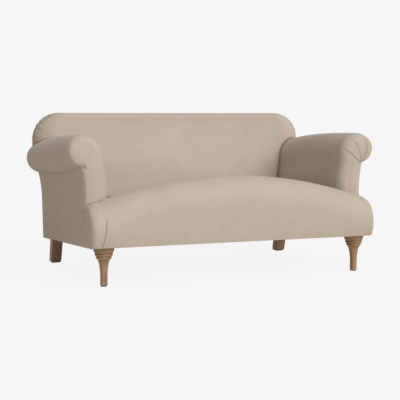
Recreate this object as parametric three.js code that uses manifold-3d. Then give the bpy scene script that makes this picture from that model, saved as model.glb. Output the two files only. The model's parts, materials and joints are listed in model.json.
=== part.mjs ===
import * as THREE from 'three';
import { mergeVertices } from 'three/addons/utils/BufferGeometryUtils.js';
import Module from 'manifold-3d';

const wasm = await Module();
wasm.setup();

// English roll arm sofa with a tight seat and back. Millimetres, +X to the viewer's right,
// +Y to the rear, +Z up. The origin is on the floor under the middle of the sofa.

const degree = Math.PI / 180;
const quarterTurn = Math.PI / 2;

// Overall size
const overallWidth = 1652;
const overallDepth = 1010;
const overallHeight = 810;
const halfWidth = overallWidth / 2;
const halfDepth = overallDepth / 2;

// Fits and cuts
const fitGap = 0.3;
const cutOverrun = 60;
const weldDistance = 0.001;
const flakeSize = 0.02;

// Stance: the body falls towards the rear and the back leans
const frontUnderside = 185.5;
const rearUnderside = 140;
const backRake = 4.8 * degree;
const rollOverhang = 82;
const bodyHalfWidth = halfWidth - rollOverhang;

// Upholstery layers
const coverThickness = 2.5;
const foamSkin = coverThickness + 2 * fitGap;
const outsideArmThickness = 3.4;
const outsideBackThickness = 5;

// Arms
const armWidth = 209;
const armInnerHalf = halfWidth - armWidth;
const armLean = 28;
const armLeanFoot = 400;
const armSetback = 193;
const armFaceY = armSetback - halfDepth;
const armFaceBulge = 54;
const armFaceTuck = 52;
const armPadThickness = 28;
const armFloor = 150;
const rollEndRadius = 78;
const rollSwell = 18;
const rollSwellInward = 12;
const neckAngle = 75 * degree;
const rollTop = 706;
const rollFall = 58;
const shoulderHeight = 580;
const flareHeight = 140;
const panelTuck = 1.5;
const sideStepHeight = 345;
const scrollBoardSetback = 8;
const sideStepY = armFaceY + scrollBoardSetback;

// Seat
const seatCrest = 500;
const seatSideHeight = 412;
const seatCrossDrop = seatCrest - seatSideHeight;
const seatPitchDrop = 74;
const seatCornerDrop = 32;
const seatFrontBulge = 19;
const seatNoseDepth = 120;
const seatNoseHeight = 120;
const seatNoseShare = 0.62;
const seatCrestSetback = 205;
const seatCrestY = seatCrestSetback - halfDepth;
const seatBackSetback = 205;
const seatBackY = halfDepth - seatBackSetback;
const seatRearSetback = 105;
const seatRearY = halfDepth - seatRearSetback;
const endSetIn = 73;
const endHalfWidth = halfWidth - endSetIn;
const endRoundWidth = 70;
const endWidestHeight = 300;
const endHemTuck = 10;
const endPlanRadius = 50;
const endDepth = 149.7;
const endRearY = endDepth - halfDepth;

// Back
const backSetIn = 35;
const backHalfWidth = halfWidth - backSetIn;
const backCornerWidth = 136;
const backCornerHeight = 130;
const backShoulderHeight = overallHeight - backCornerHeight;
const backCornerFullness = 1.85;
const backRearRollDepth = 12;
const backRearRollHeight = 14;
const backFrontRollHeight = 38;
const backTopThickness = 120;
const backSideThickness = 130;
const backLumbarCrown = 65;
const backLumbarHeight = 472;
const backSideRoundWidth = 125;
const backSideShare = 0.2;
const backSideFullness = 1.5;
const backFloor = 200;

// Seat frame
const railThickness = 28;
const railHeight = 105;
const railSetback = 22;
const braceWidth = 60;
const braceThickness = 24;
const braceLift = 12;
const blockReach = 98;
const blockHeight = 60;
const dustCoverThickness = 1.5;
const dustCoverInset = 24;

// Seat springing
const springCount = 7;
const springEdge = 137;
const springSpacing = 2 * (armInnerHalf - springEdge) / (springCount - 1);
const springWireRadius = 2;
const springWireSides = 5;
const springWaves = 8;
const springStepsPerWave = 6;
const springSwing = 24;
const springRise = 30;
const clipLength = 24;
const clipWidth = 26;
const clipHeight = 7;
const hessianThickness = 1.5;
const hessianEdge = 7;
const hessianHalfWidth = armInnerHalf - hessianEdge;

// Back frame
const postWidth = 27.4;
const postSetIn = 142;
const postInnerHalf = halfWidth - postSetIn;
const postSetback = 40;
const postDepth = 54;
const postTopDrop = 50;
const postTop = overallHeight - postTopDrop;
const topRailPadding = 56;
const topRailHeight = 90;
const topRailBottom = overallHeight - topRailPadding - topRailHeight;
const tieRailBottom = 300;
const tieRailHeight = 70;
const strapCount = 5;
const strapEdge = 137;
const strapSpacing = 2 * (armInnerHalf - strapEdge) / (strapCount - 1);
const strapWidth = 50;
const strapThickness = 2.5;

// Arm frame
const scrollBoardThickness = 28;
const armRailHeight = 44;
const armRailWidth = 44.7;
const armRailDrop = 6;
const armTieHeight = 40;
const armTieTop = 370;

// Legs
const frontLegSetIn = 158;
const frontLegHalfSpan = halfWidth - frontLegSetIn;
const frontLegSetback = 86;
const frontLegY = frontLegSetback - halfDepth;
const frontLegRadius = 51;
const frontLegSegments = 20;
const rearLegSetIn = 150;
const rearLegHalfSpan = halfWidth - rearLegSetIn;
const rearLegTopSetback = 82;
const rearLegTopY = halfDepth - rearLegTopSetback;
const rearLegFootSetback = 44;
const rearLegFootY = halfDepth - rearLegFootSetback;
const rearLegTopSize = 57;
const rearLegFootSize = 54;
const rearLegChamfer = 3;
const glideHeight = 4;
const frontGlideRadius = 14;
const rearGlideSize = 42;
const boltRadius = 5;
const boltSegments = 12;
const boltDepthInLeg = 38;
const screwReach = 60;
const washerRadius = 11;
const washerThickness = 2;
const nutRadius = 9;
const nutHeight = 8;
const nutSides = 6;

// The turned front leg as height share and radius share, from the foot up
const turningShares = [
  [0, 0.32], [0.008, 0.345], [0.1, 0.335], [0.3, 0.337], [0.43, 0.363], [0.55, 0.435], [0.64, 0.51],
  [0.7, 0.59], [0.712, 0.69], [0.735, 0.73], [0.762, 0.7], [0.772, 0.66],
  [0.782, 0.78], [0.812, 0.84], [0.84, 0.82], [0.852, 0.76],
  [0.862, 0.85], [0.895, 0.91], [0.935, 0.955], [1, 1],
];

// Colours and finishes
const fabricFinish = { color: 0xc2b4a1, roughness: 0.95, metalness: 0 };
const foamFinish = { color: 0xe9dfc6, roughness: 0.9, metalness: 0 };
const frameWoodFinish = { color: 0xd0ad7c, roughness: 0.7, metalness: 0 };
const legWoodFinish = { color: 0xa0825f, roughness: 0.55, metalness: 0 };
const steelFinish = { color: 0x8d9093, roughness: 0.4, metalness: 1 };
const webbingFinish = { color: 0xb39a70, roughness: 0.95, metalness: 0 };
const hessianFinish = { color: 0xa98c60, roughness: 1, metalness: 0 };
const dustClothFinish = { color: 0x2b2a29, roughness: 0.95, metalness: 0 };
const feltFinish = { color: 0x6f6a63, roughness: 1, metalness: 0 };

// Derived places
const faceY = -halfDepth + seatFrontBulge;
const backStraightHeight = overallHeight - backRearRollHeight;
const rearY = (z) => halfDepth - (backStraightHeight - z) * Math.tan(backRake);
const rearFootY = rearY(rearUnderside);
const bodyFall = Math.atan2(frontUnderside - rearUnderside, rearFootY - faceY);
const undersideZ = (y) => frontUnderside - (y - faceY) * Math.tan(bodyFall);
const rollRearY = rearY(rollTop - rollEndRadius);
const panelDepth = (outsideBackThickness + fitGap) / Math.cos(backRake);
const railHalfSpan = bodyHalfWidth - outsideArmThickness - fitGap;
const rearRailBack = (rearFootY - panelDepth - faceY) / Math.cos(bodyFall);
const rearRailFront = rearRailBack - railThickness;
const frontRailBack = railSetback + railThickness;
const springStart = railSetback + railThickness / 2;
const springEnd = rearRailBack - railThickness / 2;
const frontBoltSetback = (frontLegY - faceY) / Math.cos(bodyFall);
const legTopGap = dustCoverThickness + 2 * fitGap;

// Finishes as materials
const material = (finish) => new THREE.MeshStandardMaterial(finish);
const fabric = material(fabricFinish);
const foam = material(foamFinish);
const frameWood = material(frameWoodFinish);
const legWood = material(legWoodFinish);
const steel = material(steelFinish);
const webbing = material(webbingFinish);
const hessian = material(hessianFinish);
const dustCloth = material(dustClothFinish);
const felt = material(feltFinish);

// Groups: the seat frame lies along the falling underside, the back frame along the raked rear plane
const sofa = new THREE.Group();
const seatFrame = new THREE.Group();
seatFrame.position.set(0, faceY, frontUnderside);
seatFrame.rotation.x = -bodyFall;
const backFrame = new THREE.Group();
backFrame.position.set(0, rearFootY, rearUnderside);
backFrame.rotation.x = -backRake;
const upright = new THREE.Group();
for (const group of [seatFrame, backFrame, upright]) {
  group.updateMatrix();
  sofa.add(group);
}

// Solids and meshes

function toSolid(geometry) {
  const bare = geometry.clone();
  bare.deleteAttribute('normal');
  bare.deleteAttribute('uv');
  const merged = mergeVertices(bare, weldDistance);
  const vertProperties = new Float32Array(merged.attributes.position.array);
  const triVerts = new Uint32Array(merged.index.array);
  return new wasm.Manifold(new wasm.Mesh({ numProp: 3, vertProperties, triVerts }));
}

function toGeometry(solid) {
  const { vertProperties, triVerts } = solid.getMesh();
  const geometry = new THREE.BufferGeometry();
  geometry.setAttribute('position', new THREE.BufferAttribute(vertProperties, 3));
  geometry.setIndex(new THREE.BufferAttribute(triVerts, 1));
  geometry.computeVertexNormals();
  return geometry;
}

// Drops the thin flakes that a cut can leave beside the piece itself
function mainBody(solid) {
  const bodies = solid.decompose();
  const main = bodies.reduce((largest, body) => (body.volume() > largest.volume() ? body : largest));
  return main.simplify(flakeSize);
}

function addPiece(group, name, shape, finish) {
  const geometry = shape.isBufferGeometry ? shape : toGeometry(mainBody(shape));
  const mesh = new THREE.Mesh(geometry, finish);
  mesh.name = name;
  group.add(mesh);
}

function inWorld(geometry, group) {
  return toSolid(geometry.clone().applyMatrix4(group.matrix));
}

function slab(x0, x1, y0, y1, z0, z1) {
  const box = new THREE.BoxGeometry(Math.abs(x1 - x0), Math.abs(y1 - y0), Math.abs(z1 - z0));
  return box.translate((x0 + x1) / 2, (y0 + y1) / 2, (z0 + z1) / 2);
}

// A side outline in Y and Z, extruded across from x0 to x1
function extrudeAcross(outline, x0, x1) {
  const shape = new THREE.Shape(outline.map(([y, z]) => new THREE.Vector2(y, z)));
  const depth = Math.abs(x1 - x0);
  const prism = new THREE.ExtrudeGeometry(shape, { depth, bevelEnabled: false, steps: 1 });
  const turn = new THREE.Matrix4().set(0, 0, 1, Math.min(x0, x1), 1, 0, 0, 0, 0, 1, 0, 0, 0, 0, 0, 1);
  return prism.applyMatrix4(turn);
}

// A front outline in X and height, extruded forward from the rear plane between two depths
function extrudeForward(outline, near, far) {
  const shape = new THREE.Shape(outline.map(([x, w]) => new THREE.Vector2(x, w)));
  const prism = new THREE.ExtrudeGeometry(shape, { depth: far - near, bevelEnabled: false, steps: 1 });
  return prism.translate(0, 0, near).rotateX(quarterTurn);
}

function signedVolume(positions, index) {
  const corners = [new THREE.Vector3(), new THREE.Vector3(), new THREE.Vector3()];
  let total = 0;
  for (let first = 0; first < index.length; first += 3) {
    corners.forEach((corner, step) => corner.fromArray(positions, 3 * index[first + step]));
    total += corners[0].dot(corners[1].cross(corners[2]));
  }
  return total;
}

// The side faces between rings of equally many points
function sideFaces(ringCount, count) {
  const index = [];
  for (let base = 0; base < (ringCount - 1) * count; base += count) {
    for (let step = 0; step < count; step += 1) {
      const next = (step + 1) % count;
      index.push(base + step, base + next, base + count + next);
      index.push(base + step, base + count + next, base + count + step);
    }
  }
  return index;
}

function closedBody(points, index) {
  const positions = points.flatMap((point) => point.toArray());
  if (signedVolume(positions, index) < 0) {
    index.reverse();
  }
  const geometry = new THREE.BufferGeometry();
  geometry.setAttribute('position', new THREE.BufferAttribute(new Float32Array(positions), 3));
  geometry.setIndex(index);
  return geometry;
}

// Joins rings of equally many points into a closed body, each end closed by a fan round its centre
function loft(rings, startCentre, endCentre) {
  const count = rings[0].length;
  const last = (rings.length - 1) * count;
  const startIndex = rings.length * count;
  const endIndex = startIndex + 1;
  const index = sideFaces(rings.length, count);
  for (let step = 0; step < count; step += 1) {
    const next = (step + 1) % count;
    index.push(startIndex, next, step);
    index.push(endIndex, last + step, last + next);
  }
  return closedBody([...rings.flat(), startCentre, endCentre], index);
}

function ringArea(ring) {
  return THREE.ShapeUtils.area(ring.map((point) => new THREE.Vector2(point.x, point.z)));
}

// The triangles that close a ring, running round it in its own direction
function capFaces(ring) {
  const outline = ring.map((point) => new THREE.Vector2(point.x, point.z));
  const faces = THREE.ShapeUtils.triangulateShape(outline, []);
  const along = ringArea(ring) > 0;
  return faces.map((face) => {
    const faceAlong = ringArea(face.map((corner) => ring[corner])) > 0;
    return faceAlong === along ? face : [...face].reverse();
  });
}

// Joins rings of any section into a closed body, each end closed in its own plane
function cappedLoft(rings) {
  const count = rings[0].length;
  const last = (rings.length - 1) * count;
  const index = sideFaces(rings.length, count);
  index.push(...capFaces(rings[0]).flatMap(([a, b, c]) => [a, c, b]));
  index.push(...capFaces(rings.at(-1)).flatMap((face) => face.map((corner) => last + corner)));
  return closedBody(rings.flat(), index);
}

function ringCentre(ring) {
  const sum = ring.reduce((total, point) => total.add(point), new THREE.Vector3());
  return sum.divideScalar(ring.length);
}

// How far a rounded end has drawn in at a place between 0, its start, and 1, its tip
const drawnIn = (share) => 1 - Math.sqrt(Math.max(0, 1 - share * share));

// Stations across the sofa: even shares of the straight stretch, then a quarter round
function stationsAcross(straightHalf, roundWidth, straightShares, roundSteps, lastShare) {
  const half = straightShares.map((share) => straightHalf * share);
  for (let step = 0; step <= roundSteps; step += 1) {
    half.push(straightHalf + roundWidth * Math.sin(quarterTurn * lastShare * step / roundSteps));
  }
  const outward = half.filter((x) => x > 0);
  return [...outward.map((x) => -x).reverse(), 0, ...outward];
}

// Seat: a crowned pad whose front runs past the arms at both ends

const endStraightHalf = endHalfWidth - endRoundWidth;
const seatStraightShares = [0.2, 0.4, 0.57, 0.72, 0.86];
const seatRoundSteps = 6;
const seatLastShare = 0.94;
const seatFaceShares = [0, 0.35, 0.7];
const seatNoseSteps = 5;
const seatTopShares = [0, 0.35, 0.7, 1];

function seatTop(x, y) {
  const flatHalf = Math.min(Math.abs(x), endStraightHalf);
  const across = (flatHalf / armInnerHalf) ** 2;
  const back = Math.max(0, (y - seatCrestY) / (seatBackY - seatCrestY));
  const crown = seatCrest - seatPitchDrop * back - across * (seatCrossDrop + seatCornerDrop * back);
  const endShare = (Math.abs(x) - flatHalf) / endRoundWidth;
  return crown - (crown - endWidestHeight) * drawnIn(endShare);
}

const hemRound = (x) => drawnIn(Math.max(0, Math.abs(x) - endHalfWidth + endHemTuck) / endHemTuck);
const seatBottom = (x, y) => undersideZ(y) + (endWidestHeight - undersideZ(y)) * hemRound(x);

function seatFrontY(x) {
  const planShare = Math.max(0, Math.abs(x) - endHalfWidth + endPlanRadius) / endPlanRadius;
  return -halfDepth + endPlanRadius * drawnIn(planShare);
}

function seatRing(x, skin, opening) {
  const across = x * (endHalfWidth - skin) / endHalfWidth;
  const front = seatFrontY(x) + skin;
  const bulge = seatFrontBulge * (1 - hemRound(x));
  const foot = front + bulge;
  const noseEnd = front + seatNoseDepth;
  const bottom = seatBottom(x, foot);
  const noseTop = seatTop(x, noseEnd) - skin;
  const noseRise = Math.min(seatNoseHeight, (noseTop - bottom) * seatNoseShare);
  const ring = [];
  const put = (y, z) => ring.push(new THREE.Vector3(across, y, z));
  put(seatRearY + opening, seatBottom(x, seatRearY) - opening);
  if (opening > 0) {
    put(foot, bottom - opening);
  }
  for (const share of seatFaceShares) {
    put(front + bulge * (1 - share) ** 2, bottom + (noseTop - noseRise - bottom) * share);
  }
  for (let step = 0; step <= seatNoseSteps; step += 1) {
    const turn = quarterTurn * step / seatNoseSteps;
    put(noseEnd - seatNoseDepth * Math.cos(turn), noseTop - noseRise * (1 - Math.sin(turn)));
  }
  for (const share of seatTopShares) {
    const y = seatCrestY + (seatRearY - seatCrestY) * share;
    put(y, seatTop(x, y) - skin);
  }
  if (opening > 0) {
    put(seatRearY + opening, seatTop(x, seatRearY) - skin);
  }
  return ring;
}

// The seat's outer form drawn in by a skin; an opening runs it out through its hidden sides
function seatBody(skin, opening) {
  const stations = stationsAcross(
    endStraightHalf, endRoundWidth, seatStraightShares, seatRoundSteps, seatLastShare,
  );
  const rings = stations.map((x) => seatRing(x, skin, opening));
  let body = toSolid(loft(rings, ringCentre(rings[0]), ringCentre(rings.at(-1))));
  const outside = endHalfWidth + cutOverrun;
  const sideX = armInnerHalf - fitGap;
  for (const side of [-1, 1]) {
    const besideArm = slab(
      side * sideX, side * outside, endRearY, seatRearY + 2 * cutOverrun, -cutOverrun, overallHeight,
    );
    body = body.subtract(toSolid(besideArm));
  }
  return body;
}

// Only the stretch in front of the arms, grown by the fit gap, to trim what meets it
function seatFrontCutter() {
  const grown = seatBody(-fitGap, 0);
  const slice = slab(
    -endHalfWidth - cutOverrun, endHalfWidth + cutOverrun,
    -halfDepth - cutOverrun, endRearY + fitGap, -cutOverrun, overallHeight,
  );
  const mouth = toSolid(slab(
    -endHalfWidth, endHalfWidth, endRearY - fitGap, endRearY + fitGap, frontUnderside, sideStepHeight,
  ));
  return grown.add(mouth).intersect(toSolid(slice));
}

// Arms: a rolled arm that falls and swells on its way back, on an outside panel that flares to the neck

const shoulderSteps = 6;
const rollSteps = 11;
const flareShares = [0.25, 0.5, 0.75, 1];
const faceShares = [1, 0.87, 0.66, 0.36, 0];
const alongShares = [0.2, 0.4, 0.6, 0.8];
const rollFallShares = [0, 0.02, 0.1, 0.28, 0.57, 1];
const rollSwellShares = [0, 0.64, 0.96, 0.96, 0.64, 0];

// A table's share at a place along the arm, from its front to its rear
function alongRoll(y, shares) {
  const last = shares.length - 1;
  const along = Math.min(1, Math.max(0, (y - armFaceY) / (rollRearY - armFaceY)));
  const step = Math.min(last - 1, Math.floor(along * last));
  return shares[step] + (shares[step + 1] - shares[step]) * (along * last - step);
}

const outwardSwell = (rollSwell - rollSwellInward) * Math.max(...rollSwellShares);
const rollEndHalfSpan = halfWidth - rollEndRadius - outwardSwell;
const rollDrop = (y) => rollFall * alongRoll(y, rollFallShares);
const rollRadius = (y) => rollEndRadius + rollSwell * alongRoll(y, rollSwellShares);
const rollHalfSpan = (y) => rollEndHalfSpan - rollSwellInward * alongRoll(y, rollSwellShares);
const rollCentreZ = (y) => rollTop - rollDrop(y) - rollRadius(y);
const neckHalfWidth = (y) => rollHalfSpan(y) + rollRadius(y) * Math.cos(neckAngle);
const neckZ = (y) => rollCentreZ(y) - rollRadius(y) * Math.sin(neckAngle);
const shoulderInnerHalf = armInnerHalf + armLean;

const flareHalfWidth = (y, below) =>
  bodyHalfWidth + (neckHalfWidth(y) - bodyHalfWidth) * (1 - Math.min(1, below / flareHeight)) ** 2;

// The curved part of the section, from the top of the inner face over the roll to the neck
function armCurve(y, inset) {
  const curve = [];
  const drop = rollDrop(y);
  for (let step = 0; step <= shoulderSteps; step += 1) {
    const turn = quarterTurn * step / shoulderSteps;
    const width = rollHalfSpan(y) - shoulderInnerHalf - inset;
    const rise = rollTop - shoulderHeight - inset;
    curve.push([rollHalfSpan(y) - width * Math.cos(turn), shoulderHeight - drop + rise * Math.sin(turn)]);
  }
  for (let step = 1; step <= rollSteps; step += 1) {
    const turn = quarterTurn - (quarterTurn + neckAngle) * step / rollSteps;
    const radius = rollRadius(y) - inset;
    curve.push([rollHalfSpan(y) + radius * Math.cos(turn), rollCentreZ(y) + radius * Math.sin(turn)]);
  }
  return curve;
}

function flareCurve(y, inset) {
  return flareShares.map((share) => {
    const below = flareHeight * share;
    return [flareHalfWidth(y, below) - inset, neckZ(y) - below];
  });
}

function innerFace(inset, floor) {
  return [[armInnerHalf + inset, floor], [armInnerHalf + inset, armLeanFoot]];
}

const placed = (side, y, outline) => outline.map(([x, z]) => new THREE.Vector3(side * x, y, z));

function armRing(side, y, inset, floor) {
  return placed(side, y, [
    ...innerFace(inset, floor), ...armCurve(y, inset), ...flareCurve(y, inset),
    [bodyHalfWidth - inset, floor],
  ]);
}

// Lays a ring in the raked plane just in front of the outside back
function ontoRearPlane(points, reach) {
  for (const point of points) {
    point.y = rearY(point.z) - panelDepth + reach;
  }
  return points;
}

// Rings of a section from a first place to the rear plane, and past it by a reach
function ringsToRear(section, firstY, reach) {
  const stations = alongShares.map((share) => armFaceY + (rollRearY - armFaceY) * share);
  const rings = [firstY, ...stations].map((y) => section(y));
  rings.push(ontoRearPlane(section(rollRearY), 0));
  if (reach > 0) {
    rings.push(ontoRearPlane(section(rollRearY), reach));
  }
  return rings;
}

function armBody(side, skin, reach) {
  const floor = armFloor - reach;
  const roundShares = faceShares.filter((share) => share > 0);
  const face = roundShares.map((share) =>
    armRing(side, armFaceY - (armFaceBulge - skin) * share, skin + armFaceTuck * drawnIn(share), floor));
  const body = ringsToRear((y) => armRing(side, y, skin, floor), armFaceY, reach);
  return toSolid(cappedLoft([...face, ...body]));
}

const boardFrontY = sideStepY;
const boardBackY = boardFrontY + scrollBoardThickness;

// The space inside the arm pad, from the scroll board to the outside back
function armHollow(side) {
  const inset = foamSkin + armPadThickness;
  const floor = armFloor - cutOverrun;
  const outerX = halfWidth + cutOverrun;
  const section = (y) => {
    const past = rollRadius(y) + cutOverrun / 2;
    const outwardZ = rollCentreZ(y) - past * Math.sin(neckAngle);
    return placed(side, y, [
      ...innerFace(inset, floor), ...armCurve(y, inset),
      [rollHalfSpan(y) + past * Math.cos(neckAngle), outwardZ], [outerX, outwardZ], [outerX, floor],
    ]);
  };
  return toSolid(cappedLoft(ringsToRear(section, boardFrontY - fitGap, cutOverrun)));
}

// The outside arm panel, grown on every side by an allowance when it trims its neighbours
function outsideArm(side, grow) {
  const section = (y) => {
    const belows = [panelTuck - grow, ...flareShares.map((share) => flareHeight * share)];
    const outer = belows.map((below) => [flareHalfWidth(y, below) + grow, neckZ(y) - below]);
    const inner = outer.map(([x, z]) => [x - outsideArmThickness - 2 * grow, z]).reverse();
    const floor = undersideZ(y < rollRearY ? y : rearFootY - panelDepth) - grow;
    const hem = [[bodyHalfWidth + grow, floor], [bodyHalfWidth - outsideArmThickness - grow, floor]];
    return placed(side, y, [...outer, ...hem, ...inner]);
  };
  const main = toSolid(cappedLoft(ringsToRear(section, sideStepY - grow, grow > 0 ? cutOverrun : 0)));
  const stepBack = sideStepY + outsideArmThickness;
  const stepFront = endRearY + fitGap - grow;
  const stepTop = sideStepHeight + grow;
  const step = extrudeAcross([
    [stepFront, undersideZ(stepFront) - grow], [stepBack, undersideZ(stepBack) - grow],
    [stepBack, stepTop], [stepFront, stepTop],
  ], side * (bodyHalfWidth - outsideArmThickness - grow), side * (bodyHalfWidth + grow));
  return main.add(toSolid(step));
}

// Back: a T shaped pad whose upper part rests on the arm rolls

const backStraightHalf = backHalfWidth - backCornerWidth;
const backStraightShares = [0.36, 0.68, 0.88];
const backRoundSteps = 7;
const backLastShare = 0.95;
const backFaceShares = [0.33, 0.66, 1];
const backRollSteps = 4;

function backTop(x) {
  const share = Math.max(0, Math.abs(x) - backStraightHalf) / backCornerWidth;
  const full = Math.max(0, 1 - share ** backCornerFullness) ** (1 / backCornerFullness);
  return backShoulderHeight + (overallHeight - backShoulderHeight) * full;
}

function backFaceY(x, z) {
  const upper = overallHeight - backFrontRollHeight;
  const low = Math.min(1, Math.max(0, (upper - z) / (upper - backLumbarHeight)));
  const middle = 1 - Math.min(1, Math.abs(x) / armInnerHalf) ** 2;
  const lumbar = backSideThickness + backLumbarCrown * middle;
  const sideShare = Math.max(0, Math.abs(x) - backHalfWidth + backSideRoundWidth) / backSideRoundWidth;
  const full = Math.max(0, 1 - sideShare ** backSideFullness) ** (1 / backSideFullness);
  const rounding = backSideShare + (1 - backSideShare) * full;
  return rearY(z) - (backTopThickness + (lumbar - backTopThickness) * low) * rounding;
}

function backRing(x, skin, opening) {
  const across = x * (backHalfWidth - skin) / backHalfWidth;
  const floor = backFloor - opening;
  const crown = backTop(x) - skin;
  const rearTop = backTop(x) - backRearRollHeight;
  const frontTop = backTop(x) - backFrontRollHeight;
  const planeY = (z) => rearY(z) - panelDepth;
  const crownY = planeY(rearTop) - backRearRollDepth;
  const faceTopY = backFaceY(x, frontTop) + skin;
  const ring = [];
  const put = (y, z) => ring.push(new THREE.Vector3(across, y, z));
  put(planeY(floor) + opening, floor);
  put(planeY(rearTop) + opening, rearTop);
  for (let step = skin > 0 ? 0 : 1; step <= backRollSteps; step += 1) {
    const turn = quarterTurn * step / backRollSteps;
    const inward = (backRearRollDepth - skin) * Math.cos(turn);
    put(crownY + inward, rearTop + (crown - rearTop) * Math.sin(turn));
  }
  for (let step = 1; step <= backRollSteps; step += 1) {
    const turn = quarterTurn * step / backRollSteps;
    const z = frontTop + (crown - frontTop) * Math.cos(turn);
    put(crownY - (crownY - faceTopY) * Math.sin(turn), z);
  }
  for (const share of backFaceShares) {
    const z = frontTop - (frontTop - backLumbarHeight) * share;
    put(backFaceY(x, z) + skin, z);
  }
  put(backFaceY(x, backFloor) + skin, backFloor);
  if (opening > 0) {
    put(backFaceY(x, backFloor) + skin, floor);
  }
  return ring;
}

// The back's outer form drawn in by a skin; an opening runs it out through its hidden sides
function backBody(skin, opening) {
  const stations = stationsAcross(
    backStraightHalf, backCornerWidth, backStraightShares, backRoundSteps, backLastShare,
  );
  const rings = stations.map((x) => backRing(x, skin, opening));
  return toSolid(loft(rings, ringCentre(rings[0]), ringCentre(rings.at(-1))));
}

// Leaves only what stands between the arms and what rests on their rolls
function trimBackToArms(body, armCutters) {
  const outside = backHalfWidth + cutOverrun;
  const rearmost = halfDepth + cutOverrun;
  const besideArms = [-1, 1].map((side) => toSolid(slab(
    side * rollHalfSpan(rollRearY), side * outside, 0, rearmost, 0, rollCentreZ(rollRearY),
  )));
  return [...armCutters, ...besideArms].reduce((left, trim) => left.subtract(trim), body);
}

// Seat frame, in places along the falling underside: x across, s back from the front hem, h up

const springHeight = (s) => {
  const along = Math.min(1, Math.max(0, (s - springStart) / (springEnd - springStart)));
  return railHeight + fitGap + springRise * Math.sin(Math.PI * along);
};
const hessianUnderside = (s) => springHeight(s) + clipHeight + fitGap;
const archSteps = 8;

function archLine(heightAt, from, to) {
  const line = [];
  for (let step = 0; step <= archSteps; step += 1) {
    const s = from + (to - from) * step / archSteps;
    line.push([s, heightAt(s)]);
  }
  return line;
}

// Everything below the stuffing: rails, springs and hessian, with room in front of and beside them
function frameSpace(halfWidth) {
  const top = (s) => hessianUnderside(s) + hessianThickness + fitGap;
  const front = railSetback - fitGap;
  const back = rearRailBack + cutOverrun;
  const outline = [
    [front, -cutOverrun * 2], [front, top(springStart)], ...archLine(top, springStart, springEnd),
    [back, top(springEnd)], [back, -cutOverrun * 2],
  ];
  return inWorld(extrudeAcross(outline, -halfWidth, halfWidth), seatFrame);
}

const frontBolt = { across: frontLegHalfSpan, along: frontBoltSetback };
const rearScrew = { across: rearLegHalfSpan, along: rearRailFront + railThickness / 2 };

function addRails() {
  const rail = (from, to) => slab(-railHalfSpan, railHalfSpan, from, to, 0, railHeight);
  addPiece(seatFrame, 'front_rail', rail(railSetback, frontRailBack), frameWood);
  let rearRail = toSolid(rail(rearRailFront, rearRailBack));
  for (const side of [-1, 1]) {
    const bore = boltGeometry(boltRadius + fitGap, -cutOverrun, screwReach + fitGap);
    rearRail = rearRail.subtract(toSolid(bore.translate(side * rearScrew.across, rearScrew.along, 0)));
  }
  addPiece(seatFrame, 'rear_rail', rearRail, frameWood);
  const from = frontRailBack + fitGap;
  const to = rearRailFront - fitGap;
  for (const [side, word] of [[-1, 'left'], [1, 'right']]) {
    const inner = side * (railHalfSpan - railThickness);
    const sideRail = slab(inner, side * railHalfSpan, from, to, 0, railHeight);
    addPiece(seatFrame, `side_rail_${word}`, sideRail, frameWood);
  }
  const braceTop = braceLift + braceThickness;
  const brace = slab(-braceWidth / 2, braceWidth / 2, from, to, braceLift, braceTop);
  addPiece(seatFrame, 'seat_centre_brace', brace, frameWood);
}

// A corner block: a triangle glued into the corner of two rails
function cornerBlock(side, cornerX, cornerS, sDirection) {
  const x = (inward) => side * (cornerX - inward);
  const s = (along) => cornerS + sDirection * along;
  const shape = new THREE.Shape([
    new THREE.Vector2(x(0), s(0)), new THREE.Vector2(x(blockReach), s(0)),
    new THREE.Vector2(x(0), s(blockReach)),
  ]);
  const depth = blockHeight - fitGap;
  const block = new THREE.ExtrudeGeometry(shape, { depth, bevelEnabled: false, steps: 1 });
  return toSolid(block.translate(0, 0, fitGap));
}

function boltGeometry(radius, from, to) {
  const pin = new THREE.CylinderGeometry(radius, radius, to - from, boltSegments);
  return pin.rotateX(quarterTurn).translate(0, 0, (from + to) / 2);
}

function legBolt() {
  const washerFrom = blockHeight + fitGap;
  const washerTo = washerFrom + washerThickness;
  const nut = new THREE.CylinderGeometry(nutRadius, nutRadius, nutHeight + washerThickness, nutSides);
  nut.rotateX(quarterTurn).translate(0, 0, washerFrom + (nutHeight + washerThickness) / 2);
  const top = washerTo + nutHeight + boltRadius;
  return toSolid(boltGeometry(boltRadius, -boltDepthInLeg, top))
    .add(toSolid(boltGeometry(washerRadius, washerFrom, washerTo)))
    .add(toSolid(nut));
}

function addCorners() {
  const frontCornerX = railHalfSpan - railThickness - fitGap;
  const rearCornerX = postInnerHalf - fitGap;
  for (const [side, word] of [[-1, 'left'], [1, 'right']]) {
    const bore = boltGeometry(boltRadius + fitGap, -cutOverrun, blockHeight + cutOverrun);
    const front = cornerBlock(side, frontCornerX, frontRailBack + fitGap, 1)
      .subtract(toSolid(bore.translate(side * frontBolt.across, frontBolt.along, 0)));
    const rear = cornerBlock(side, rearCornerX, rearRailFront - fitGap, -1);
    addPiece(seatFrame, `corner_block_front_${word}`, front, frameWood);
    addPiece(seatFrame, `corner_block_rear_${word}`, rear, frameWood);
    const bolt = legBolt().translate([side * frontBolt.across, frontBolt.along, 0]);
    addPiece(seatFrame, `leg_bolt_front_${word}`, bolt, steel);
    const screw = boltGeometry(boltRadius, -boltDepthInLeg, screwReach);
    screw.translate(side * rearScrew.across, rearScrew.along, 0);
    addPiece(seatFrame, `leg_screw_rear_${word}`, screw, steel);
  }
}

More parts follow.
